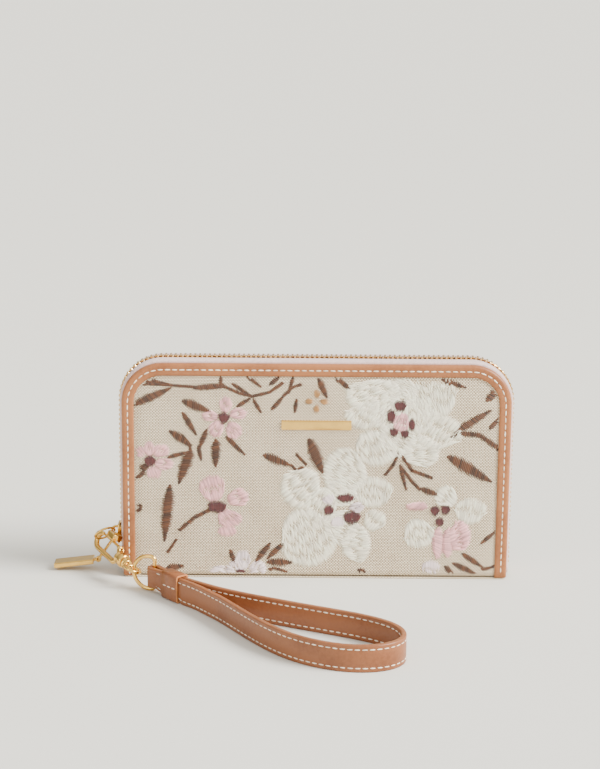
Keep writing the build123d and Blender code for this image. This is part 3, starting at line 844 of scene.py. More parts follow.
def pattern() -> tuple[list[Leaf], list[Stem], list[Petal]]:
    """The flowers, leaves and stems worked on a cover.

    Returns:
        Leaves, stems and petals, in millimetres from the middle of the spine.
    """
    leaves = [Leaf(*entry) for entry in (
        ((-90, 102), (-71.5, 98.8), 2.6), ((-89.4, 88.3), (-70.5, 97.2), 5), ((-60, 96.7), (-45, 98.8), 3.5),
        ((-46.8, 103), (-46.8, 96.7), 2.4), ((-41.3, 99.3), (-32.4, 93.5), 2.4),
                                         ((-38.9, 87.8), (-32.4, 92), 2.6),
        ((-31, 91.5), (-27, 84.7), 2.6), ((-22, 86.3), (-16, 93.5), 2.8), ((-23, 98.8), (-18, 103), 2.6),
        ((-10.6, 85.2), (-9.7, 92.5), 2.6), ((-11.6, 103), (-13.6, 94), 2.4), ((-34, 103), (-27, 97.7), 2.4),
        ((-65.6, 90.4), (-51.7, 85.2), 5.5), ((-65.6, 84.7), (-58.7, 73.3), 3.8),
                                         ((-72, 75.3), (-60.6, 67.5), 4.8),
        ((-49.3, 71.2), (-49.3, 57.1), 6), ((-44.3, 72.7), (-34.9, 63.4), 3.2),
                                         ((-73, 61.8), (-62.6, 64.9), 2.8),
        ((-61.6, 66), (-67.6, 48.3), 7), ((-89.9, 50.9), (-82.4, 59.2), 6), ((-89.9, 34), (-85.9, 37.9), 5),
        ((-72, 47.8), (-75, 18.1), 6.8), ((-74, 4.6), (-65, 6.1), 4), ((-42.3, 14.5), (-39.9, 7.2), 3.2),
        ((-22.5, 18.1), (-30, 7.7), 4.2), ((-16, 18.1), (-24, 9.8), 3.8), ((-24, 8.2), (-11, 8.2), 4.7),
        ((-23, 4.6), (-10.6, 1.5), 4), ((-26, 63.4), (-12, 58.2), 5), ((-3.7, 71.7), (3.7, 54), 7.5),
        ((0.7, 102), (5.2, 92.5), 4), ((9, 103), (16.6, 96.7), 3.5), ((41.3, 58.7), (44.8, 45.7), 2.6),
        ((51.7, 46.7), (61, 43.6), 4), ((64.6, 63.4), (86.9, 50.4), 7), ((67.6, 75.3), (85.9, 87.3), 4.6),
        ((84.9, 77.4), (90, 83.1), 3), ((83, 91.5), (90, 98.8), 5), ((61, 102), (72.5, 98.2), 3.4),
        ((68.6, 8.2), (80.9, 2.5), 3.8), ((64.6, 6.7), (69.6, 1.5), 3.2), ((21.5, 4.6), (26.5, 1.5), 3.5),
        ((-53.7, 76.4), (-57.5, 66), 3.4), ((-58, 68), (-56.2, 59.7), 2.8), ((82.4, 18.6), (89.9, 25.4), 2.6),
        ((73, 13.4), (84, 6), 3.4),
    )]
    stems = [Stem(*entry) for entry in (
        (((-90, 99), (-76, 98.6), (-62.6, 97.7)), 1.2), (((-62.6, 97.7), (-52, 97), (-44.8, 97.7)), 1.2),
        (((-44.8, 97.7), (-37.9, 94.6), (-31.4, 93), (-23, 95.1), (-16.6, 99.8)), 1.4),
        (((-16, 93.5), (-12, 97.7), (-7, 99.3)), 1.3), (((-12, 58.2), (-9.7, 55.6), (-6.2, 57.6)), 1.3),
        (((-9.7, 63.9), (-4.7, 58.7)), 1.3), (((40.8, 65.5), (37.9, 58.7), (33.9, 53.5)), 1.5),
        (((41.3, 64.9), (47.3, 56.1), (57.2, 52.4)), 1.6), (((42, 57.6), (47, 51), (51.5, 46.2)), 1.5),
        (((68.6, 75.3), (80, 74.3), (90.3, 67)), 2.4), (((-52.2, 35.3), (-60.1, 31.1), (-67.6, 24.3)), 1.8),
        (((-69, 19.7), (-73.5, 12.9)), 1.2), (((83.4, 5.1), (89.9, 6.7)), 1.4),
        (((-61.6, 66), (-63, 70), (-66, 73.5)), 1.2), (((73, 75.2), (66, 73)), 1.4),
    )]
    petals: list[Petal] = []

    def flower(heart: tuple[float, float], kind: Thread, *patches: tuple, lift: float = 0.0,
               form: Form = Form.RADIAL) -> None:
        """Add a flower's petals."""
        for x, z, width, height in patches:
            petals.append(Petal((x, z), (width, height), heart, kind, lift, form))

    flower((41.8, 81.1), Thread.WHITE, (28, 94, 29, 19), (56, 92.5, 28, 22), (24, 84, 22, 15),
           (29, 67.5, 23, 19),
           (59.5, 75, 25, 19), (51, 65.5, 19, 17), (42, 95, 16, 18), (39, 72, 20, 20), (34, 85, 18, 18),
           (50, 83, 18, 18),
           form=Form.ACROSS)
    flower((11.6, 35.8), Thread.WHITE, (14.5, 55, 23, 26), (-7.5, 47, 21, 23), (-4, 21.5, 31, 31),
           (28, 44.6, 22, 16),
           (29, 30, 12, 12), (20, 18, 15, 21), (3, 38, 18, 20), (12, 27, 18, 20), (12, 44, 18, 16),
           form=Form.ACROSS)
    flower((61, 32.7), Thread.WHITE, (51.2, 23.8, 17, 16), (64.6, 42.6, 12, 12), (76.5, 35, 17, 14),
           form=Form.ACROSS)
    flower((61, 32.7), Thread.PINK, (50.2, 37.9, 11, 5), (60.5, 19, 6, 17), (65.5, 19, 6, 16),
           (71, 22.3, 12, 17),
           lift=0.12, form=Form.ACROSS)
    flower((-45.3, 82.1), Thread.PINK, (-44.5, 88.6, 7, 8), (-38.6, 84.2, 9, 6.5), (-40.6, 76, 8.5, 9),
           (-49, 76.6, 8, 9), (-52, 83, 8, 6))
    flower((-82, 59.7), Thread.PINK, (-86.5, 64.5, 6.5, 6), (-82, 66, 6, 8), (-76.5, 65, 9, 7),
           (-75, 58.6, 10, 6.5),
           (-80, 54.3, 8, 7))
    flower((-48.3, 36.8), Thread.PINK, (-51, 46, 14, 14), (-38.6, 41.5, 11, 10), (-42.8, 31, 13, 10),
           (-43.8, 24.5, 10, 6))
    flower((-36.4, 1.5), Thread.BLUSH, (-46, 3.4, 13, 6), (-36, 9, 8, 11), (-29, 5.1, 9, 8), (-39, 6, 8, 8))
    flower((57.7, 1.0), Thread.BLUSH, (57.7, 5.0, 10, 9))
    flower((11.6, 35.8), Thread.BLUSH, (6.5, 41, 7, 6), (20, 37, 7, 6), (11, 29.5, 7, 7), lift=0.15)
    flower((41.8, 81.1), Thread.PINK, (41.6, 80.6, 9, 10), lift=0.2)
    wine = (
        (-45.3, 82.1, 6, 5.5), (-81.8, 60, 6, 5.5), (-48.6, 36.6, 10, 6), (40.8, 88.6, 6.5, 5.5),
            (36.4, 83.4, 4.5, 7.5),
        (37.9, 75.4, 4.5, 4.5), (43.2, 74.6, 4.5, 4.5), (46.6, 79, 3.6, 6.5), (14.6, 41.6, 9.5, 4),
            (6.4, 35.4, 5.5, 5),
        (18, 31.6, 9, 7), (59, 35.4, 5, 5), (64.3, 36, 5, 5), (61.4, 29.6, 4.5, 4.5), (-37, 2.6, 5, 3),
    )
    for x, z, width, height in wine:
        petals.append(Petal((x, z), (width, height), (x, z - 30), Thread.WINE, 0.32))
    gilt = ((0, 94.2, 3.2, 4.6), (-3.6, 90.6, 4.6, 3.2), (3.6, 90.6, 4.6, 3.2), (0, 87.0, 3.2, 4.6))
    for x, z, width, height in gilt:
        petals.append(Petal((x, z), (width, height), (0, 90.6), Thread.GILT, 0.0))
    return leaves, stems, petals


@dataclass
class Embroidery:
    """Satin stitch worked over the canvas of one cover."""

    side: Side
    form: CoverForm
    wear: Wardrobe
    gap: float = 0.56
    strand: float = 0.66
    height: float = 0.27
    longest: float = 7.5
    rng: random.Random = field(default_factory=lambda: random.Random(SEED))
    runs: dict = field(default_factory=lambda: {kind: [] for kind in Thread})

    def clear(self, x: float, z: float) -> bool:
        """True where a stitch lies on open canvas."""
        return self.form.inside(x * MM, z * MM) > self.form.trim_width + 0.1 * MM and z > 2.2

    def put(self, kind: Thread, a: tuple, b: tuple, lift: float = 0.0, width: float | None = None) -> None:
        """Lay one strand between two points, trimmed where it would run under the binding."""
        if not (self.clear(*a) and self.clear(*b)):
            middle = ((a[0] + b[0]) / 2, (a[1] + b[1]) / 2)
            if not self.clear(*middle):
                return
            a = a if self.clear(*a) else middle
            b = b if self.clear(*b) else middle
        if math.dist(a, b) > 0.5:
            self.runs[kind].append((a, b, lift, width or self.strand, self.rng.random()))

    def leaf(self, item: Leaf) -> None:
        """Strands across a leaf, slanting back from its middle."""
        length = math.dist(item.root, item.tip)
        ux, uz = (item.tip[0] - item.root[0]) / length, (item.tip[1] - item.root[1]) / length
        px, pz = -uz, ux
        spot = 0.2
        while spot < length - 0.2:
            share = spot / length
            half = item.width / 2 * math.sin(math.pi * min(1, share ** 0.8 * 0.97 + 0.03)) ** 0.75
            half = max(0.55, half) * self.rng.uniform(0.88, 1.14) + 0.15
            slant = 0.3 * half
            a = (item.root[0] + ux * (spot - slant) + px * half,
                 item.root[1] + uz * (spot - slant) + pz * half)
            b = (item.root[0] + ux * (spot + slant) - px * half,
                 item.root[1] + uz * (spot + slant) - pz * half)
            self.put(item.kind, a, b, self.rng.uniform(0, 0.04), 1.25)
            spot += 0.9

    def stem(self, item: Stem) -> None:
        """Short slanted strands along a line."""
        for a, b in zip(item.points, item.points[1:]):
            self.thread_run(a, b, item)

    def thread_run(self, a: tuple, b: tuple, item: Stem) -> None:
        """The strands of one straight part of a stem."""
        length = math.dist(a, b)
        ux, uz = (b[0] - a[0]) / length, (b[1] - a[1]) / length
        spot = 0.0
        while spot < length:
            half = item.width * 0.68 * self.rng.uniform(0.85, 1.15) + 0.15
            x, z = a[0] + ux * spot, a[1] + uz * spot
            self.put(item.kind, (x - uz * half - ux * 0.5, z + ux * half - uz * 0.5),
                     (x + uz * half + ux * 0.5, z - ux * half + uz * 0.5), 0.0, 1.15)
            spot += 0.88

    def petal(self, item: Petal) -> None:
        """Rows of strands that run towards the flower's heart."""
        (cx, cz), (width, height) = item.middle, item.size
        dx, dz = item.heart[0] - cx, item.heart[1] - cz
        size = math.hypot(dx, dz) or 1.0
        ux, uz = dx / size, dz / size
        if item.form is Form.ACROSS:
            ux, uz = -uz * 0.94 + ux * 0.34, ux * 0.94 + uz * 0.34
        px, pz = -uz, ux
        a2, b2 = (width / 2) ** 2, (height / 2) ** 2
        reach = math.sqrt((px * px) * a2 + (pz * pz) * b2)
        spot = -reach
        while spot < reach:
            ox, oz = px * spot, pz * spot
            a = ux * ux / a2 + uz * uz / b2
            b = 2 * (ox * ux / a2 + oz * uz / b2)
            c = ox * ox / a2 + oz * oz / b2 - 1
            root = b * b - 4 * a * c
            if root > 0:
                low = (-b - math.sqrt(root)) / (2 * a) - self.rng.uniform(-0.3, 0.7)
                high = (-b + math.sqrt(root)) / (2 * a) + self.rng.uniform(-0.3, 0.7)
                count = max(1, math.ceil((high - low) / self.longest))
                piece = (high - low) / count
                shift = self.rng.uniform(-0.3, 0.3) * piece if count > 1 else 0
                stops = [low] + [low + piece * n + shift for n in range(1, count)] + [high]
                for start, end in zip(stops, stops[1:]):
                    start -= 0.25
                    fan = 1 - 0.22 * (end - low) / max(1.0, high - low)
                    fan_a = 1 - 0.22 * (start - low) / max(1.0, high - low)
                    self.put(item.kind, (cx + ox * fan_a + ux * start, cz + oz * fan_a + uz * start),
                             (cx + ox * fan + ux * end, cz + oz * fan + uz * end),
                             item.lift + self.rng.uniform(0, 0.035))
            spot += self.gap * 0.94

    def build(self) -> None:
        """Work the pattern and make one piece for each thread."""
        leaves, stems, petals = pattern()
        for item in stems:
            self.stem(item)
        for item in leaves:
            self.leaf(item)
        for item in petals:
            self.petal(item)
        out = Vector((0, self.side.value, 0))
        for kind, runs in self.runs.items():
            places, tones = [], []
            for a, b, lift, width, tone in runs:
                ends = []
                for x, z in (a, b):
                    spread = self.form.surface(x * MM, z * MM) + lift * MM
                    flip = -self.side.value
                    ends.append(Vector((x * MM * flip, self.side.value * spread, z * MM)))
                matrix = frame_at((ends[0] + ends[1]) / 2, ends[1] - ends[0], out)
                size = Matrix.Diagonal(((ends[1] - ends[0]).length, width * MM, self.height * MM, 1))
                places.append(matrix @ size)
                tones.append(tone)
            name = f"{self.side.word}_{kind.name.lower()}_embroidery"
            dress(name, repeat(strand_template(), places, tones), self.wear.threads[kind], self.side.body)


# ------------------------------------------------------------------ the main zip
@dataclass
class Zip:
    """Tapes, teeth, end stops, slider and its loop."""

    form: CoverForm
    wear: Wardrobe
    tooth_pitch: float = 2.4 * MM

    def tape(self, side: Side) -> None:
        """A tape sewn inside a cover, turning out along the edge to the teeth."""
        low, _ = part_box(f"{side.word}_zip_tape")
        inner = self.form.inner
        outline = [(-5.9 * MM, inner - 0.15 * MM), (-3 * MM, inner - 0.2 * MM),
                   (-0.6 * MM, inner - 0.25 * MM),
                   (0.3 * MM, inner - 0.34 * MM), (0.72 * MM, inner - 0.62 * MM),
                   (0.88 * MM, inner - 1.2 * MM),
                   (0.94 * MM, inner - 3 * MM), (0.9 * MM, 3.4 * MM), (0.88 * MM, 2.2 * MM)]
        bm = bmesh.new()
        sweep(bm, outline, self.form.stations(low.z, side, 5 * MM), open_outline=True)
        bm.normal_update()
        probe = max((f for f in bm.faces if abs(f.normal.x) > 0.9 and f.calc_center_median().x > self.form.half),
                    key=lambda f: f.calc_area())
        if probe.normal.x < 0:
            bmesh.ops.reverse_faces(bm, faces=bm.faces)
        piece = finish_mesh(f"{side.word}_tape_cloth", bm, self.wear.tape, side.body,
                            [f"{side.word}_zip_tape"])
        thicken(piece, 0.5 * MM, 0.0)
        length = sum((b.translation - a.translation).length for a, b in zip(
            self.form.stations(low.z, side), self.form.stations(low.z, side)[1:]))

    def tooth(self, side: Side) -> bmesh.types.BMesh:
        """One tooth with rounded edges and a nib, X along the chain, Z out."""
        bm = bmesh.new()
        block(bm, Vector((-0.52 * MM, -0.7 * MM, -1.3 * MM)), Vector((0.52 * MM, 2.9 * MM, 1.3 * MM)))
        bmesh.ops.bevel(bm, geom=list(bm.edges), offset=0.24 * MM, segments=1, profile=0.5, affect="EDGES",
                        material=-1)
        for vert in bm.verts:
            if vert.co.y < 0:
                vert.co.z *= 0.86
            vert.co.y *= side.value
        bmesh.ops.recalc_face_normals(bm, faces=bm.faces)
        return bm

    def teeth(self, side: Side) -> None:
        """The row of teeth of one cover."""
        start, end = 18.1 * MM, 5 * MM
        line = self.form.rim(start, 1.2 * MM)
        line = [(p + o * 0.9 * MM, o) for p, o in line]
        tail = [(Vector((self.form.half + 0.9 * MM, 0, z)),
                 Vector((1, 0, 0))) for z in np.linspace(start, end, 12)[1:]]
        line += tail
        lengths = [(b[0] - a[0]).length for a, b in zip(line, line[1:])]
        total = sum(lengths)
        spot = (0.5 if side is Side.FRONT else 1.7) * MM
        places, tones = [], []
        rng = random.Random(SEED)
        index, left = 0, spot
        while spot < total - 0.5 * MM:
            while index < len(lengths) - 1 and left > lengths[index]:
                left -= lengths[index]
                index += 1
            share = left / lengths[index]
            point = line[index][0].lerp(line[index + 1][0], share)
            out = line[index][1].lerp(line[index + 1][1], share).normalized()
            along = Vector((0, 1, 0)).cross(out)
            places.append(frame_at(point, along, out))
            tones.append(rng.random())
            spot += self.tooth_pitch
            left += self.tooth_pitch
        mesh = repeat(self.tooth(side), places, tones)
        dress(f"{side.word}_brass_teeth", mesh, self.wear.brass, side.body,
              [f"{side.word}_zip_teeth"], True)

    def stops(self) -> None:
        """The crimped end stops."""
        for word in ("left", "right"):
            low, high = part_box(f"zip_stop_{word}")
            bm = bmesh.new()
            block(bm, low, high)
            bmesh.ops.bevel(bm, geom=list(bm.edges), offset=0.3 * MM, segments=3, profile=0.5, affect="EDGES",
                            material=-1)
            finish_mesh(f"crimped_stop_{word}", bm, self.wear.brass, "front_half",
                        [f"zip_stop_{word}"])

    def slider(self) -> None:
        """The slider: two waisted plates, side flanges and a post."""
        low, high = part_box("slider_body")
        bm = bmesh.new()
        plate = 1.0 * MM
        middle = (low + high) / 2
        for x_low, x_high in ((low.x, low.x + plate), (high.x - plate, high.x)):
            made = block(bm, Vector((x_low, low.y, low.z)), Vector((x_high, high.y, high.z)))
            tops = [e for e in bm.edges if all(v in made for v in e.verts)
                    and abs(e.verts[0].co.z - e.verts[1].co.z) > 5 * MM]
            bmesh.ops.subdivide_edges(bm, edges=tops, cuts=4)
        for vert in bm.verts:
            share = (vert.co.z - middle.z) / (high.z - middle.z)
            waist = 1 - 0.16 * max(0.0, -share) ** 1.5 - 0.08 * max(0.0, share) ** 2
            vert.co.y = middle.y + (vert.co.y - middle.y) * waist
        for y_low, y_high in ((low.y, low.y + plate), (high.y - plate, high.y)):
            y = ((y_low + 0.05 * MM, y_high) if y_low < 0 else (y_low, y_high - 0.05 * MM))
            for x_low, x_high in ((low.x + plate * 0.9, middle.x - 0.6 * MM),
                                  (middle.x + 0.6 * MM, high.x - plate * 0.9)):
                block(bm, Vector((x_low, y[0] + 0.5 * MM * (y_low < 0), low.z + 1.6 * MM)),
                      Vector((x_high, y[1] - 0.5 * MM * (y_low > 0), high.z - 1.2 * MM)))
        block(bm, Vector((low.x + plate, -1.2 * MM, low.z + 0.2 * MM)),
              Vector((high.x - plate, 1.2 * MM, low.z + 2.6 * MM)))
        piece = finish_mesh("slider_shell", bm, self.wear.gold, "zip_slider", ["slider_body"], True)
        soften(piece, 0.3 * MM)
        low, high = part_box("slider_bridge")
        wire = 0.65 * MM
        path = []
        base_x, rise = high.x + 0.2 * MM, low.x + wire
        for index in range(33):
            turn = math.pi * index / 32
            z = (low.z + high.z) / 2 - ((high.z - low.z) / 2 - wire) * math.cos(turn)
            x = base_x + (rise - base_x) * min(1.0, math.sin(turn) ** 0.5)
            path.append(Vector((x, 0, z)))
        bm = bmesh.new()
        tube(bm, path, wire, Vector((0, 1, 0)))
        finish_mesh("slider_arch", bm, self.wear.gold, "zip_slider", ["slider_bridge"])

    def build(self) -> None:
        """Build the main zip."""
        for side in Side:
            self.tape(side)
            self.teeth(side)
        self.stops()
        self.slider()


def tube(bm: bmesh.types.BMesh, path: Sequence[Vector], radius: float, across: Vector, ring: bool = False,
         flatten: float = 1.0, sides: int = 16, sizes: Sequence[float] | None = None) -> None:
    """A round bar along a path that lies in one plane.

    Args:
        bm: The mesh that grows.
        path: Its points.
        radius: Of the bar.
        across: The direction out of the path's plane.
        ring: True where the path closes.
        flatten: The bar's in-plane width over its thickness.
        sides: Of its outline.
        sizes: A scale for each point, or none.
    """
    outline = [(radius * math.cos(math.tau * n / sides), radius * flatten * math.sin(math.tau * n / sides))
               for n in range(sides)]
    stops = []
    count = len(path)
    for index, point in enumerate(path):
        before = path[index - 1] if ring or index else point
        after = path[(index + 1) % count] if ring or index < count - 1 else point
        along = (after - before).normalized()
        side = along.cross(across).normalized()
        scale = sizes[index] if sizes else 1.0
        a, b = across * scale, side * scale
        stops.append(Matrix(((a.x, b.x, along.x, point.x), (a.y, b.y, along.y, point.y),
                             (a.z, b.z, along.z, point.z), (0, 0, 0, 1))))
    sweep(bm, outline, stops, ring)


def lathe(bm: bmesh.types.BMesh, outline: Sequence[tuple[float, float]], place: Matrix,
          steps: int = 32) -> None:
    """Spin an outline of (distance along, radius) about the X axis of place."""
    verts = [bm.verts.new(place @ Vector((x, radius, 0))) for x, radius in outline]
    edges = [bm.edges.new(pair) for pair in zip(verts, verts[1:])]
    axis = (place.to_3x3() @ Vector((1, 0, 0))).normalized()
    bmesh.ops.spin(bm, geom=verts + edges, cent=place.translation, axis=axis, angle=math.tau, steps=steps,
                   use_merge=True)
    bmesh.ops.remove_doubles(bm, verts=bm.verts, dist=0.004 * MM)
    bmesh.ops.recalc_face_normals(bm, faces=bm.faces)


# ------------------------------------------------------------------ hardware
@dataclass
class Hardware:
    """Name plate, rings, clasp, swivel and bar puller."""

    frame: dict
    wear: Wardrobe
    clasp_length: float = 29.5 * MM
    clasp_half: float = 4.9 * MM
    thick: float = 2.6 * MM

    def plate(self) -> None:
        """The blank plate, with softened edges."""
        low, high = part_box("front_plate")
        face = -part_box("front_canvas")[0].y
        bm = bmesh.new()
        block(bm, Vector((low.x, low.y - 0.12 * MM, low.z)), Vector((high.x, -face + 0.2 * MM, high.z)))
        bmesh.ops.bevel(bm, geom=list(bm.edges), offset=0.32 * MM, segments=3, profile=0.5, affect="EDGES",
                        material=-1)
        for x in (-12 * MM, 12 * MM):
            place = Matrix.Translation((x, -face + 2.2 * MM, (low.z + high.z) / 2))
            lathe(bm, [(-0.0021, 0.0), (-0.0021, 0.0006), (0.0003, 0.0006), (0.0005, 0.0)],
                  place @ Matrix.Rotation(math.pi / 2, 4, "Z"), 12)
        finish_mesh("blank_plate", bm, self.wear.gold, "front_half", ["front_plate"])

    def clasp_frame(self) -> Matrix:
        """The clasp's own frame: X from hook to swivel, Z along the lever's pin."""
        record = self.frame["record"]
        joints = {joint["name"]: joint for joint in record["behaviour"]["joints"]}
        hold = next(mount for mount in record["mounts"] if mount["name"] == "clasp_hook")["pos_m"]
        along = Vector(joints["clasp_swivel"]["axis"]).normalized()
        pin = Vector(joints["lever_press"]["axis"]).normalized()
        eye_low, eye_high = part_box("swivel_eye")
        if along.dot((eye_low + eye_high) / 2 - Vector(hold)) < 0:
            along = -along
        side = pin.cross(along)
        tab_low, tab_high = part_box("clasp_lever")
        if side.dot((tab_low + tab_high) / 2 - Vector(hold)) < 0:
            pin, side = -pin, -side
        matrix = Matrix((along, side, pin)).transposed().to_4x4()
        matrix.translation = Vector(hold)
        return matrix

    def clasp(self) -> None:
        """Hook, housing, lever with its thumb pad, pin and swivel collars."""
        place = self.clasp_frame()
        out = place.to_3x3() @ Vector((0, 0, 1))
        half = self.clasp_half - 1.0 * MM
        x_near = 2.9 * MM
        path = [Vector((21.2 * MM, -0.4 * MM, 0)), Vector((20.2 * MM, -2.6 * MM, 0)),
                Vector((18.6 * MM, -half, 0))]
        path += [Vector((x, -half, 0)) for x in (15 * MM, 11 * MM, 7 * MM, 3.6 * MM)]
        for index in range(1, 14):
            turn = math.pi * index / 14
            path.append(Vector((x_near - 3.9 * MM * math.sin(turn), -half * math.cos(turn), 0)))
        path.append(Vector((x_near, half * 0.98, 0)))
        sizes = [1.0] * 3 + [0.94] * 4 + [1.0] * 10 + [0.95, 0.85, 0.7, 0.5]
        sizes = sizes[:len(path)] + [0.5] * (len(path) - len(sizes))
        bm = bmesh.new()
        tube(bm, [place @ p for p in path], 1.35 * MM, out, flatten=1.1, sizes=sizes)
        arm = [Vector((21.2 * MM, 0.2 * MM, 0)), Vector((20.6 * MM, 2.2 * MM, 0)),
               Vector((19.2 * MM, 4.0 * MM, 0)),
               Vector((18.2 * MM, 4.3 * MM, 0))]
        for z in (-1.12 * MM, 1.12 * MM):
            shift = Vector((0, 0, z))
            tube(bm, [place @ (p + shift) for p in arm], 0.45 * MM, out, flatten=3.0, sizes=[1, 1, 0.9, 0.6])
        lathe(bm, [(20.2 * MM, 0), (20.4 * MM, 1.9 * MM), (21.0 * MM, 2.9 * MM), (21.8 * MM, 3.4 * MM),
                   (22.6 * MM, 3.45 * MM), (23.1 * MM, 3.1 * MM), (23.6 * MM, 3.1 * MM),
                   (24.1 * MM, 3.5 * MM),
                   (26.2 * MM, 3.5 * MM), (26.9 * MM, 3.2 * MM), (27.2 * MM, 2.6 * MM),
                   (27.2 * MM, 1.25 * MM),
                   (25.2 * MM, 1.25 * MM), (25.2 * MM, 0)], place)
        finish_mesh("clasp_hook", bm, self.wear.gold, "clasp", ["clasp_body"])
        bm = bmesh.new()
        lathe(bm, [(-1.62 * MM, 0), (-1.62 * MM, 0.55 * MM), (-1.5 * MM, 0.78 * MM), (1.5 * MM, 0.78 * MM),
                   (1.62 * MM, 0.55 * MM), (1.62 * MM, 0)],
              place @ Matrix.Translation((19.2 * MM, 4.0 * MM, 0)) @ Matrix.Rotation(-math.pi / 2, 4, "Y"),
              20)
        finish_mesh("clasp_rivet", bm, self.wear.gold, "clasp", ["clasp_pin"])
        bm = bmesh.new()
        bar = [Vector((2.9 * MM, 4.0 * MM, 0)), Vector((5 * MM, 4.0 * MM, 0)), Vector((9 * MM, 4.05 * MM, 0)),
               Vector((13 * MM, 4.0 * MM, 0)), Vector((17 * MM, 4.0 * MM, 0)),
               Vector((20.2 * MM, 4.0 * MM, 0))]
        tube(bm, [place @ p for p in bar], 0.66 * MM, out, flatten=1.1, sizes=[0.7, 1, 1, 1, 1, 1])
        block(bm, Vector((9.6 * MM, 3.6 * MM, -0.7 * MM)), Vector((12.2 * MM, 7.4 * MM, 0.7 * MM)), place)
        pad = block(bm, Vector((7.8 * MM, 4.9 * MM, -2.7 * MM)), Vector((14.2 * MM, 8.2 * MM, 2.7 * MM)),
                    place)
        edges = [edge for edge in bm.edges if edge.verts[0] in pad and edge.verts[1] in pad]
        bmesh.ops.bevel(bm, geom=edges, offset=0.42 * MM, segments=3, profile=0.5, affect="EDGES",
                        material=-1)
        piece = finish_mesh("thumb_lever", bm, self.wear.gold, "lever", ["clasp_lever"])
        piece.data.polygons.foreach_set("use_smooth", [True] * len(piece.data.polygons))
        bm = bmesh.new()
        lathe(bm, [(22.8 * MM, 0), (22.8 * MM, 1.7 * MM), (24.4 * MM, 1.7 * MM), (24.6 * MM, 1.1 * MM),
                   (27.4 * MM, 1.1 * MM), (27.5 * MM, 2.4 * MM), (27.8 * MM, 2.9 * MM), (28.8 * MM, 2.9 * MM),
                   (29.1 * MM, 2.3 * MM), (29.5 * MM, 2.4 * MM), (30.1 * MM, 2.4 * MM), (30.5 * MM, 1.9 * MM),
                   (30.7 * MM, 0)], place)
        finish_mesh("swivel_collars", bm, self.wear.gold, "swivel", ["swivel_stem"])

    def bar(self) -> None:
        """The solid bar puller with chamfered long edges, and its barrel."""
        low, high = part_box("bar_puller")
        joints = {joint["name"]: joint for joint in self.frame["record"]["behaviour"]["joints"]}
        hold = Vector(joints["bar_swing"]["pos_m"])
        heading = Vector((-1, 0, -0.12)).normalized()
        up = Vector((0, 1, 0)).cross(heading)
        up = -up if up.z < 0 else up
        side = up.cross(heading)
        place = Matrix((heading, side, up)).transposed().to_4x4()
        place.translation = hold
        bm = bmesh.new()
        start = 2.15 * MM
        made = block(bm, Vector((start, -4.25 * MM, -1.3 * MM)),
                     Vector((start + 20 * MM, 4.25 * MM, 1.3 * MM)), place)
        edges = [edge for edge in bm.edges if edge.verts[0] in made]
        bmesh.ops.bevel(bm, geom=edges, offset=0.55 * MM, segments=2, profile=0.6, affect="EDGES",
                        material=-1)
        block(bm, Vector((0.9 * MM, -1.0 * MM, -0.6 * MM)), Vector((start + 0.3 * MM, 1.0 * MM, 0.6 * MM)),
              place)
        finish_mesh("gold_bar", bm, self.wear.gold, "puller", ["bar_puller"], True)
        bm = bmesh.new()
        lathe(bm, [(-1.05 * MM, 0.6 * MM), (-1.05 * MM, 1.3 * MM), (-0.9 * MM, 1.45 * MM),
                   (0.9 * MM, 1.45 * MM),
                   (1.05 * MM, 1.3 * MM), (1.05 * MM, 0.6 * MM), (-1.05 * MM, 0.6 * MM)],
              place @ Matrix.Rotation(math.pi / 2, 4, "Z"), 24)
        finish_mesh("bar_barrel", bm, self.wear.gold, "puller")
        LOG.info("bar spans %.1f mm", (high.x - low.x) / MM)

    def kept(self) -> None:
        """Give the wire rings and small hidden metal their finish."""
        for node in ("thin_ring", "long_link", "swivel_eye", "d_ring", "plate_washer_left",
                     "plate_washer_right"):
            cover_node(self.frame, node, self.wear.gold)

    def build(self) -> None:
        """Build the hardware."""
        self.plate()
        self.clasp()
        self.bar()
        self.kept()


def cover_node(frame: dict, node: str, finish: bpy.types.Material) -> None:
    """Give a node of the frame a better material."""
    piece = frame["nodes"][node]
    for holder in piece.material_slots:
        holder.material = finish
    if not piece.material_slots:
        piece.data.materials.append(finish)
    LOG.info("%s: finish %s", node, finish.name)


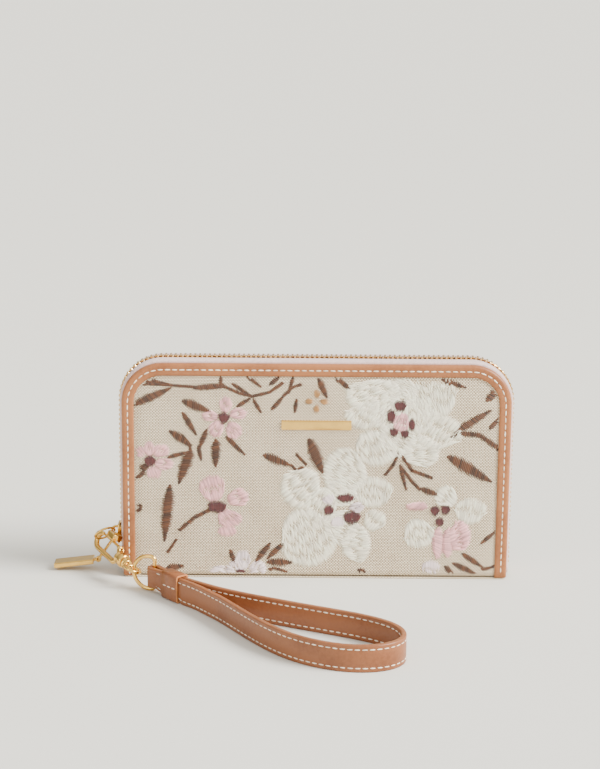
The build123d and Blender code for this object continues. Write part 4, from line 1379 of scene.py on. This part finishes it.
# ------------------------------------------------------------------ wrist strap
@dataclass
class Strap:
    """The wrist strap, standing on its edge in front of the wallet, and its keeper."""

    frame: dict
    wear: Wardrobe
    width: float = 12.5 * MM
    band: float = 2.4 * MM
    turn: float = math.radians(-48.6)
    loop: tuple = (
        (-52, -57.6), (-46, -62.4), (-34, -69.8), (-20, -77.2), (-6, -84.4), (8, -91), (21, -97.6),
                   (31.5, -105.2),
        (37.6, -114), (38.6, -124), (33.6, -131.6), (25, -135.6), (14.5, -135.9), (4, -132.6), (-6.5, -126.6),
        (-16.5, -117.4), (-25.8, -105.2), (-34.5, -91.4), (-43.4, -76.6), (-51.5, -65.5), (-57, -58.2),
    )

    def bar(self) -> Vector:
        """The upright line that the strap folds about."""
        joints = {joint["name"]: joint for joint in self.frame["record"]["behaviour"]["joints"]}
        spot = Vector(joints["strap_swing"]["pos_m"])
        return Vector((spot.x, spot.y, 0))

    def course(self) -> list[Vector]:
        """The strap's closed middle line: round the bar, out along one leg, round the loop and back."""
        bar = self.bar()
        along = Vector((math.cos(self.turn), math.sin(self.turn), 0))
        left = Vector((-along.y, along.x, 0))
        leg = 1.26 * MM
        route = [bar + along * s * MM + left * leg for s in (7, 12, 18, 23)]
        route += [Vector((x * MM, y * MM, 0)) for x, y in self.loop]
        route += [bar + along * s * MM - left * leg for s in (23, 18, 12, 7)]
        data = bpy.data.curves.new("strap_line", "CURVE")
        data.dimensions = "3D"
        data.resolution_u = 8
        spline = data.splines.new("NURBS")
        spline.points.add(len(route) - 1)
        for target, point in zip(spline.points, route):
            target.co = (*point, 1)
        spline.order_u = 3
        spline.use_endpoint_u = True
        holder = bpy.data.objects.new("strap_line", data)
        bpy.context.scene.collection.objects.link(holder)
        bpy.context.view_layer.update()
        mesh = bpy.data.meshes.new_from_object(holder)
        points = [vert.co.copy() for vert in mesh.vertices]
        bpy.data.objects.remove(holder)
        bpy.data.meshes.remove(mesh)
        eye = 2.5 * MM
        head = [bar + along * 4.2 * MM - left * 1.75 * MM]
        for index in range(19):
            angle = -math.pi / 2 - math.pi * index / 18
            head.append(bar + (along * math.cos(angle) + left * math.sin(angle)) * eye)
        head.append(bar + along * 4.2 * MM + left * 1.75 * MM)
        return points + head

    def floor(self, point: Vector) -> float:
        """Height of the strap's lower edge: it clears the D-ring at the bar and the keeper's floor."""
        reach = (point - self.bar()).length
        if reach < 5.2 * MM:
            return 2.7 * MM
        if reach < 24 * MM:
            return (2.7 - 1.4 * smooth((reach / MM - 5.2) / 3)) * MM * (1 - smooth((reach / MM - 21) / 3))
        return 0.0

    def strap(self) -> None:
        """The doubled leather band, with turned edges, and its four rows of stitches."""
        course = self.course()
        count = len(course)
        bm = bmesh.new()
        half = self.band / 2
        lines: dict[tuple[int, int], list] = {(face, row): [] for face in (-1, 1) for row in (0, 1)}
        soft = 0.5 * MM
        outline = [(-half, soft), (-half + 0.12 * MM, 0.16 * MM), (-half + soft, 0.0), (half - soft, 0.0),
                 (half - 0.12 * MM, 0.16 * MM), (half, soft), (half, 1.7 * MM), (half - 0.1 * MM, 2.0 * MM),
                 (half, 2.3 * MM), (half, 6.2 * MM), (half, self.width - 2.3 * MM),
                 (half - 0.1 * MM, self.width - 2.0 * MM), (half, self.width - 1.7 * MM),
                   (half, self.width - soft),
                 (half - 0.12 * MM, self.width - 0.16 * MM), (half - soft, self.width),
                 (-half + soft, self.width), (-half + 0.12 * MM, self.width - 0.16 * MM),
                 (-half, self.width - soft), (-half, self.width - 1.7 * MM),
                 (-half + 0.1 * MM, self.width - 2.0 * MM), (-half, self.width - 2.3 * MM), (-half, 6.2 * MM),
                 (-half, 2.3 * MM), (-half + 0.1 * MM, 2.0 * MM), (-half, 1.7 * MM)]
        stops = []
        for index, point in enumerate(course):
            before, after = course[index - 1], course[(index + 1) % count]
            along = (after - before).normalized()
            side = Vector((along.y, -along.x, 0))
            low = self.floor(point)
            scale = (self.width - low) / self.width
            stops.append(Matrix(((side.x, 0, along.x, point.x), (side.y, 0, along.y, point.y),
                                 (0, scale, 0, low), (0, 0, 0, 1))))
            reach = (point - self.bar()).length
            for face in (-1, 1):
                for row, height in ((0, 2.0 * MM), (1, self.width - 2.0 * MM)):
                    if reach > 3.4 * MM:
                        spot = point + side * face * (half - 0.02 * MM) + Vector((0, 0, low + height * scale))
                        lines[(face, row)].append((spot, side * face))
        sweep(bm, outline, stops, ring=True)
        finish_mesh("leather_strap", bm, self.wear.strap, "strap", ["wrist_strap"])
        for (face, row), line in lines.items():
            word = ("inner" if face < 0 else "outer") + ("_low" if row == 0 else "_high")
            stitches(f"strap_stitches_{word}", line, 3.3 * MM, 2.5 * MM, 0.66 * MM, 0.5 * MM, self.wear.cream,
                     "strap", 1 * MM)

    def keeper(self) -> None:
        """The loop that holds the strap's end together, with one short row of stitches and a raw edge."""
        bar = self.bar()
        along = Vector((math.cos(self.turn), math.sin(self.turn), 0))
        left = Vector((-along.y, along.x, 0))
        half_t, height, wall = 3.6 * MM, 13.7 * MM, 1.1 * MM
        start, length = 9.5 * MM, 12 * MM
        path: list[Vector] = []
        radius = 0.9 * MM
        centre_u, centre_v = half_t - wall / 2 - radius, height / 2 - wall / 2 - radius
        for corner, (su, sv) in enumerate(((1, 1), (-1, 1), (-1, -1), (1, -1))):
            for step in range(7):
                angle = math.pi / 2 * (corner + step / 6)
                path.append(Vector((0, su * centre_u + radius * math.cos(angle), height / 2 + sv * centre_v
                                    + radius * math.sin(angle))))
        outline = [(-length / 2, -wall / 2 + 0.25 * MM), (-length / 2 + 0.2 * MM, -wall / 2),
                   (length / 2 - 0.2 * MM, -wall / 2), (length / 2, -wall / 2 + 0.25 * MM),
                   (length / 2, wall / 2 - 0.25 * MM), (length / 2 - 0.2 * MM, wall / 2),
                   (0, wall / 2 + 0.08 * MM),
                   (-length / 2 + 0.2 * MM, wall / 2), (-length / 2, wall / 2 - 0.25 * MM)]
        middle = bar + along * (start + length / 2)
        stops = []
        count = len(path)
        for index, point in enumerate(path):
            tangent = (path[(index + 1) % count] - path[index - 1]).normalized()
            out = Vector((0, tangent.z, -tangent.y))
            spot = middle + left * point.y + Vector((0, 0, point.z))
            a = along
            b = left * out.y + Vector((0, 0, out.z))
            c = left * tangent.y + Vector((0, 0, tangent.z))
            stops.append(Matrix(((a.x, b.x, c.x, spot.x), (a.y, b.y, c.y, spot.y), (a.z, b.z, c.z, spot.z),
                                 (0, 0, 0, 1))))
        bm = bmesh.new()
        sweep(bm, outline, stops, ring=True)
        finish_mesh("keeper_loop", bm, self.wear.strap, "strap", ["strap_keeper"])
        bm = bmesh.new()
        rim = [(length / 2 - 0.02 * MM, -wall / 2 + 0.1 * MM), (length / 2 + 0.1 * MM, -wall / 2 + 0.2 * MM),
               (length / 2 + 0.1 * MM, wall / 2 - 0.1 * MM), (length / 2 - 0.02 * MM, wall / 2 + 0.05 * MM)]
        sweep(bm, rim, stops, ring=True)
        finish_mesh("keeper_raw_edge", bm, self.wear.cut_edge, "strap")
        out = -left
        line = [(middle + out * (half_t + 0.02 * MM) + along * s * MM + Vector((0, 0, height * 0.52)), out)
                for s in (-4.6, 0, 5.9)]
        stitches("keeper_stitches", line, 3.4 * MM, 2.7 * MM, 0.7 * MM, 0.6 * MM, self.wear.cream, "strap")

    def build(self) -> None:
        """Build the strap."""
        self.strap()
        self.keeper()


# ------------------------------------------------------------------ inside
@dataclass
class Inside:
    """Card pockets, coin pocket, its zip, and the folded side walls."""

    frame: dict
    form: CoverForm
    wear: Wardrobe

    def slab(self, name: str, node: str, finish: bpy.types.Material, body: str,
             bow: float = 0.12 * MM
             ) -> bpy.types.Object:
        """A soft layer in a node's place: edges rounded, slightly uneven."""
        low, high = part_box(node)
        bm = bmesh.new()
        block(bm, low, high)
        thick = high.y - low.y
        bmesh.ops.bevel(bm, geom=list(bm.edges), offset=min(thick, high.z - low.z) * 0.3, segments=2,
                        profile=0.5,
                        affect="EDGES", material=-1)
        long_edges = [e for e in bm.edges if abs(e.verts[0].co.x - e.verts[1].co.x) > 30 * MM]
        bmesh.ops.subdivide_edges(bm, edges=long_edges, cuts=24, use_grid_fill=True)
        tall_edges = [e for e in bm.edges if abs(e.verts[0].co.z - e.verts[1].co.z) > 8 * MM]
        bmesh.ops.subdivide_edges(bm, edges=tall_edges, cuts=5, use_grid_fill=True)
        layer = bm.loops.layers.uv.new("cut")
        for vert in bm.verts:
            wave = bow * math.sin(vert.co.x * 60) * math.sin(vert.co.z * 45)
            vert.co.y += wave * 0.5
        for face in bm.faces:
            for loop in face.loops:
                loop[layer].uv = (loop.vert.co.x, loop.vert.co.z + loop.vert.co.y)
        bmesh.ops.recalc_face_normals(bm, faces=bm.faces)
        return finish_mesh(name, bm, finish, body, [node])

    def pockets(self) -> None:
        """The stepped card pockets in both covers, each with a stitched top."""
        for side in Side:
            for number in (1, 2, 3):
                node = f"{side.word}_card_slot_{number}"
                self.slab(f"{side.word}_card_pocket_{number}", node, self.wear.suede, side.body, 0)
                low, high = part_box(node)
                y = high.y + 0.02 * MM if side is Side.FRONT else low.y - 0.02 * MM
                out = Vector((0, -side.value, 0))
                line = [(Vector((x, y, high.z - 1.6 * MM)),
                         out) for x in np.linspace(low.x + 3 * MM, high.x - 3 * MM, 30)]
                stitches(f"{side.word}_pocket_stitches_{number}", line, 3.2 * MM, 2.3 * MM, 0.45 * MM,
                         0.3 * MM,
                         self.wear.cream, side.body)

    def purse(self) -> None:
        """The zipped coin pocket."""
        for side in Side:
            piece = self.slab(f"coin_pocket_{side.word}_wall", f"coin_wall_{side.word}", self.wear.lining,
                              "coin_pocket")
            low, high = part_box(f"coin_wall_{side.word}")
            piece = self.slab(f"coin_tape_{side.word}_cloth", f"coin_tape_{side.word}", self.wear.tape,
                              "coin_pocket", 0)
        low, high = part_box("coin_edge")
        wall = 0.7 * MM
        outline = [(-1, -1), (-0.6, -1.0), (0.6, -1.0), (1, -1), (1, 1), (0.6, 1.0), (-0.6, 1.0), (-1, 1)]
        depth = (high.y - low.y) / 2 * 0.99
        outline = [(x * wall / 2, y * depth) for x, y in outline]
        r = 3 * MM
        path = [Vector((low.x + wall / 2, 0, high.z)), Vector((low.x + wall / 2, 0, (low.z + high.z) / 2)),
                Vector((low.x + wall / 2, 0, low.z + r))]
        path += [Vector((low.x + wall / 2 + r * (1 - math.cos(t)), 0,
                         low.z + wall / 2 + r * (1 - math.sin(t))))
                 for t in np.linspace(0.2, math.pi / 2, 6)]
        path += [Vector((x, 0, low.z + wall / 2)) for x in np.linspace(low.x + 10 * MM, high.x - 10 * MM, 12)]
        path += [Vector((high.x - wall / 2 - r * (1 - math.sin(t)), 0,
                         low.z + wall / 2 + r * (1 - math.cos(t))))
                 for t in np.linspace(0, math.pi / 2 - 0.2, 6)]
        path += [Vector((high.x - wall / 2, 0, (low.z + high.z) / 2)), Vector((high.x - wall / 2, 0, high.z))]
        stops = []
        for index, point in enumerate(path):
            along = (path[min(index + 1, len(path) - 1)] - path[max(index - 1, 0)]).normalized()
            out = Vector((0, 1, 0)).cross(along)
            stops.append(Matrix(((out.x, 0, along.x, point.x), (out.y, 1, along.y, point.y),
                                 (out.z, 0, along.z, point.z), (0, 0, 0, 1))))
        bm = bmesh.new()
        sweep(bm, outline, stops)
        finish_mesh("coin_pocket_piping", bm, self.wear.lining, "coin_pocket", ["coin_edge"])
        cover_node(self.frame, "coin_teeth", self.wear.brass)
        for node in ("coin_slider", "coin_slider_loop", "coin_pull_tab"):
            cover_node(self.frame, node, self.wear.gold)

    def pleats(self) -> None:
        """The folded side walls between the covers and the coin pocket."""
        for side in Side:
            for word, sign in (("left", -1), ("right", 1)):
                node = f"{side.word}_gusset_{word}"
                low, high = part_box(node)
                near, far = (low.x, high.x) if sign > 0 else (high.x, low.x)
                outline = []
                for index in range(17):
                    share = index / 16
                    fold = 1 - abs(2 * share - 1)
                    soft = smooth(fold)
                    outline.append((far - 0.3 * MM * sign + (near - far + 0.6 * MM * sign) * soft,
                                    low.y + (high.y - low.y) * share))
                stops = [Matrix(((1, 0, 0, 0), (0, 1, 0, 0), (0, 0, 1, z), (0, 0, 0, 1)))
                         for z in np.linspace(low.z, high.z, 18)]
                bm = bmesh.new()
                sweep(bm, outline, stops, open_outline=True)
                piece = finish_mesh(f"{side.word}_pleat_{word}", bm, self.wear.lining, None, [node])
                thicken(piece, 0.4 * MM, 0.0)
                if side is Side.FRONT:
                    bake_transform(piece)
                else:
                    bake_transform(piece)

    def boards(self) -> None:
        """The stiffeners inside the covers and the spine."""
        for node in ("front_board", "back_board", "spine_board"):
            cover_node(self.frame, node, self.wear.board)

    def build(self) -> None:
        """Build the inside."""
        self.pockets()
        self.purse()
        self.pleats()
        self.boards()


# ------------------------------------------------------------------ studio
@dataclass
class Studio:
    """Floor, soft light and camera."""

    lens: float = 85.3
    spot: tuple = (-9.85 * MM, -876.9 * MM, 298.7 * MM)
    aim: tuple = (-8.2 * MM, 0.0, 96.3 * MM)
    roll: float = math.radians(0.45)

    def floor(self) -> None:
        """A wide plain floor."""
        bm = bmesh.new()
        bmesh.ops.create_grid(bm, x_segments=4, y_segments=4, size=30)
        mesh = bpy.data.meshes.new("studio_floor")
        bm.to_mesh(mesh)
        bm.free()
        g = Graph("studio_paper")
        g.set(Roughness=0.95, Specular_IOR_Level=0.1)
        g.shader.inputs["Base Color"].default_value = shade(222, 219, 208)
        mesh.materials.append(g.material)
        piece = bpy.data.objects.new("studio_floor", mesh)
        bpy.context.scene.collection.objects.link(piece)

    def light(self, name: str, kind: str, place: Sequence[float], power: float, size: float = 0.0) -> None:
        """One light that looks at the wallet."""
        data = bpy.data.lights.new(name, kind)
        data.energy = power
        if kind == "AREA":
            data.size = size
        else:
            data.angle = size
        lamp = bpy.data.objects.new(name, data)
        lamp.location = place
        lamp.rotation_euler = (Vector((0, -0.02, 0.04)) - Vector(place)).to_track_quat("-Z", "Y").to_euler()
        bpy.context.scene.collection.objects.link(lamp)

    def world(self) -> None:
        """Even pale surroundings."""
        world = bpy.data.worlds.new("studio_air")
        world.use_nodes = True
        back = world.node_tree.nodes["Background"]
        tree = world.node_tree
        spot = tree.nodes.new("ShaderNodeTexCoord")
        bright = tree.nodes.new("ShaderNodeVectorMath")
        bright.operation = "DOT_PRODUCT"
        bright.inputs[1].default_value = Vector((0.62, -0.25, 0.74)).normalized()
        tree.links.new(spot.outputs["Generated"], bright.inputs[0])
        ramp = tree.nodes.new("ShaderNodeMapRange")
        ramp.inputs["From Min"].default_value = -0.7
        ramp.inputs["From Max"].default_value = 1.0
        ramp.inputs["To Min"].default_value = 0.26
        ramp.inputs["To Max"].default_value = 1.62
        tree.links.new(bright.outputs["Value"], ramp.inputs["Value"])
        tree.links.new(ramp.outputs[0], back.inputs[1])
        back.inputs[0].default_value = (1.0, 0.99, 0.97, 1)
        bpy.context.scene.world = world

    def camera(self) -> None:
        """The camera at the set viewing angle."""
        data = bpy.data.cameras.new("studio_camera")
        data.lens = self.lens
        data.clip_end = 100
        camera = bpy.data.objects.new("studio_camera", data)
        camera.location = self.spot
        look = (Vector(self.aim) - Vector(self.spot)).to_track_quat("-Z", "Y").to_matrix()
        camera.rotation_euler = (look @ Matrix.Rotation(self.roll, 3, "Z")).to_euler()
        bpy.context.scene.collection.objects.link(camera)
        bpy.context.scene.camera = camera

    def build(self) -> None:
        """Build the studio."""
        self.floor()
        self.world()
        self.light("key_sun", "SUN", (2.7, -0.75, 2.2), 7.2, math.radians(26))
        self.light("side_box", "AREA", (0.9, -0.5, 0.7), 5, 0.5)
        self.light("low_box", "AREA", (-0.8, -0.9, 0.35), 2, 0.4)
        self.camera()


def main() -> None:
    """Build every piece, in order."""
    logging.basicConfig(level=logging.INFO, format="%(message)s")
    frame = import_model()
    wear = Wardrobe()
    form = CoverForm()
    for side in Side:
        Cover(side, form, wear).build()
        Embroidery(side, form, wear).build()
    Spine(form, wear).build()
    Zip(form, wear).build()
    Hardware(frame, wear).build()
    Strap(frame, wear).build()
    Inside(frame, form, wear).build()
    Studio().build()
    bpy.context.view_layer.update()


if __name__ == "__main__":
    main()
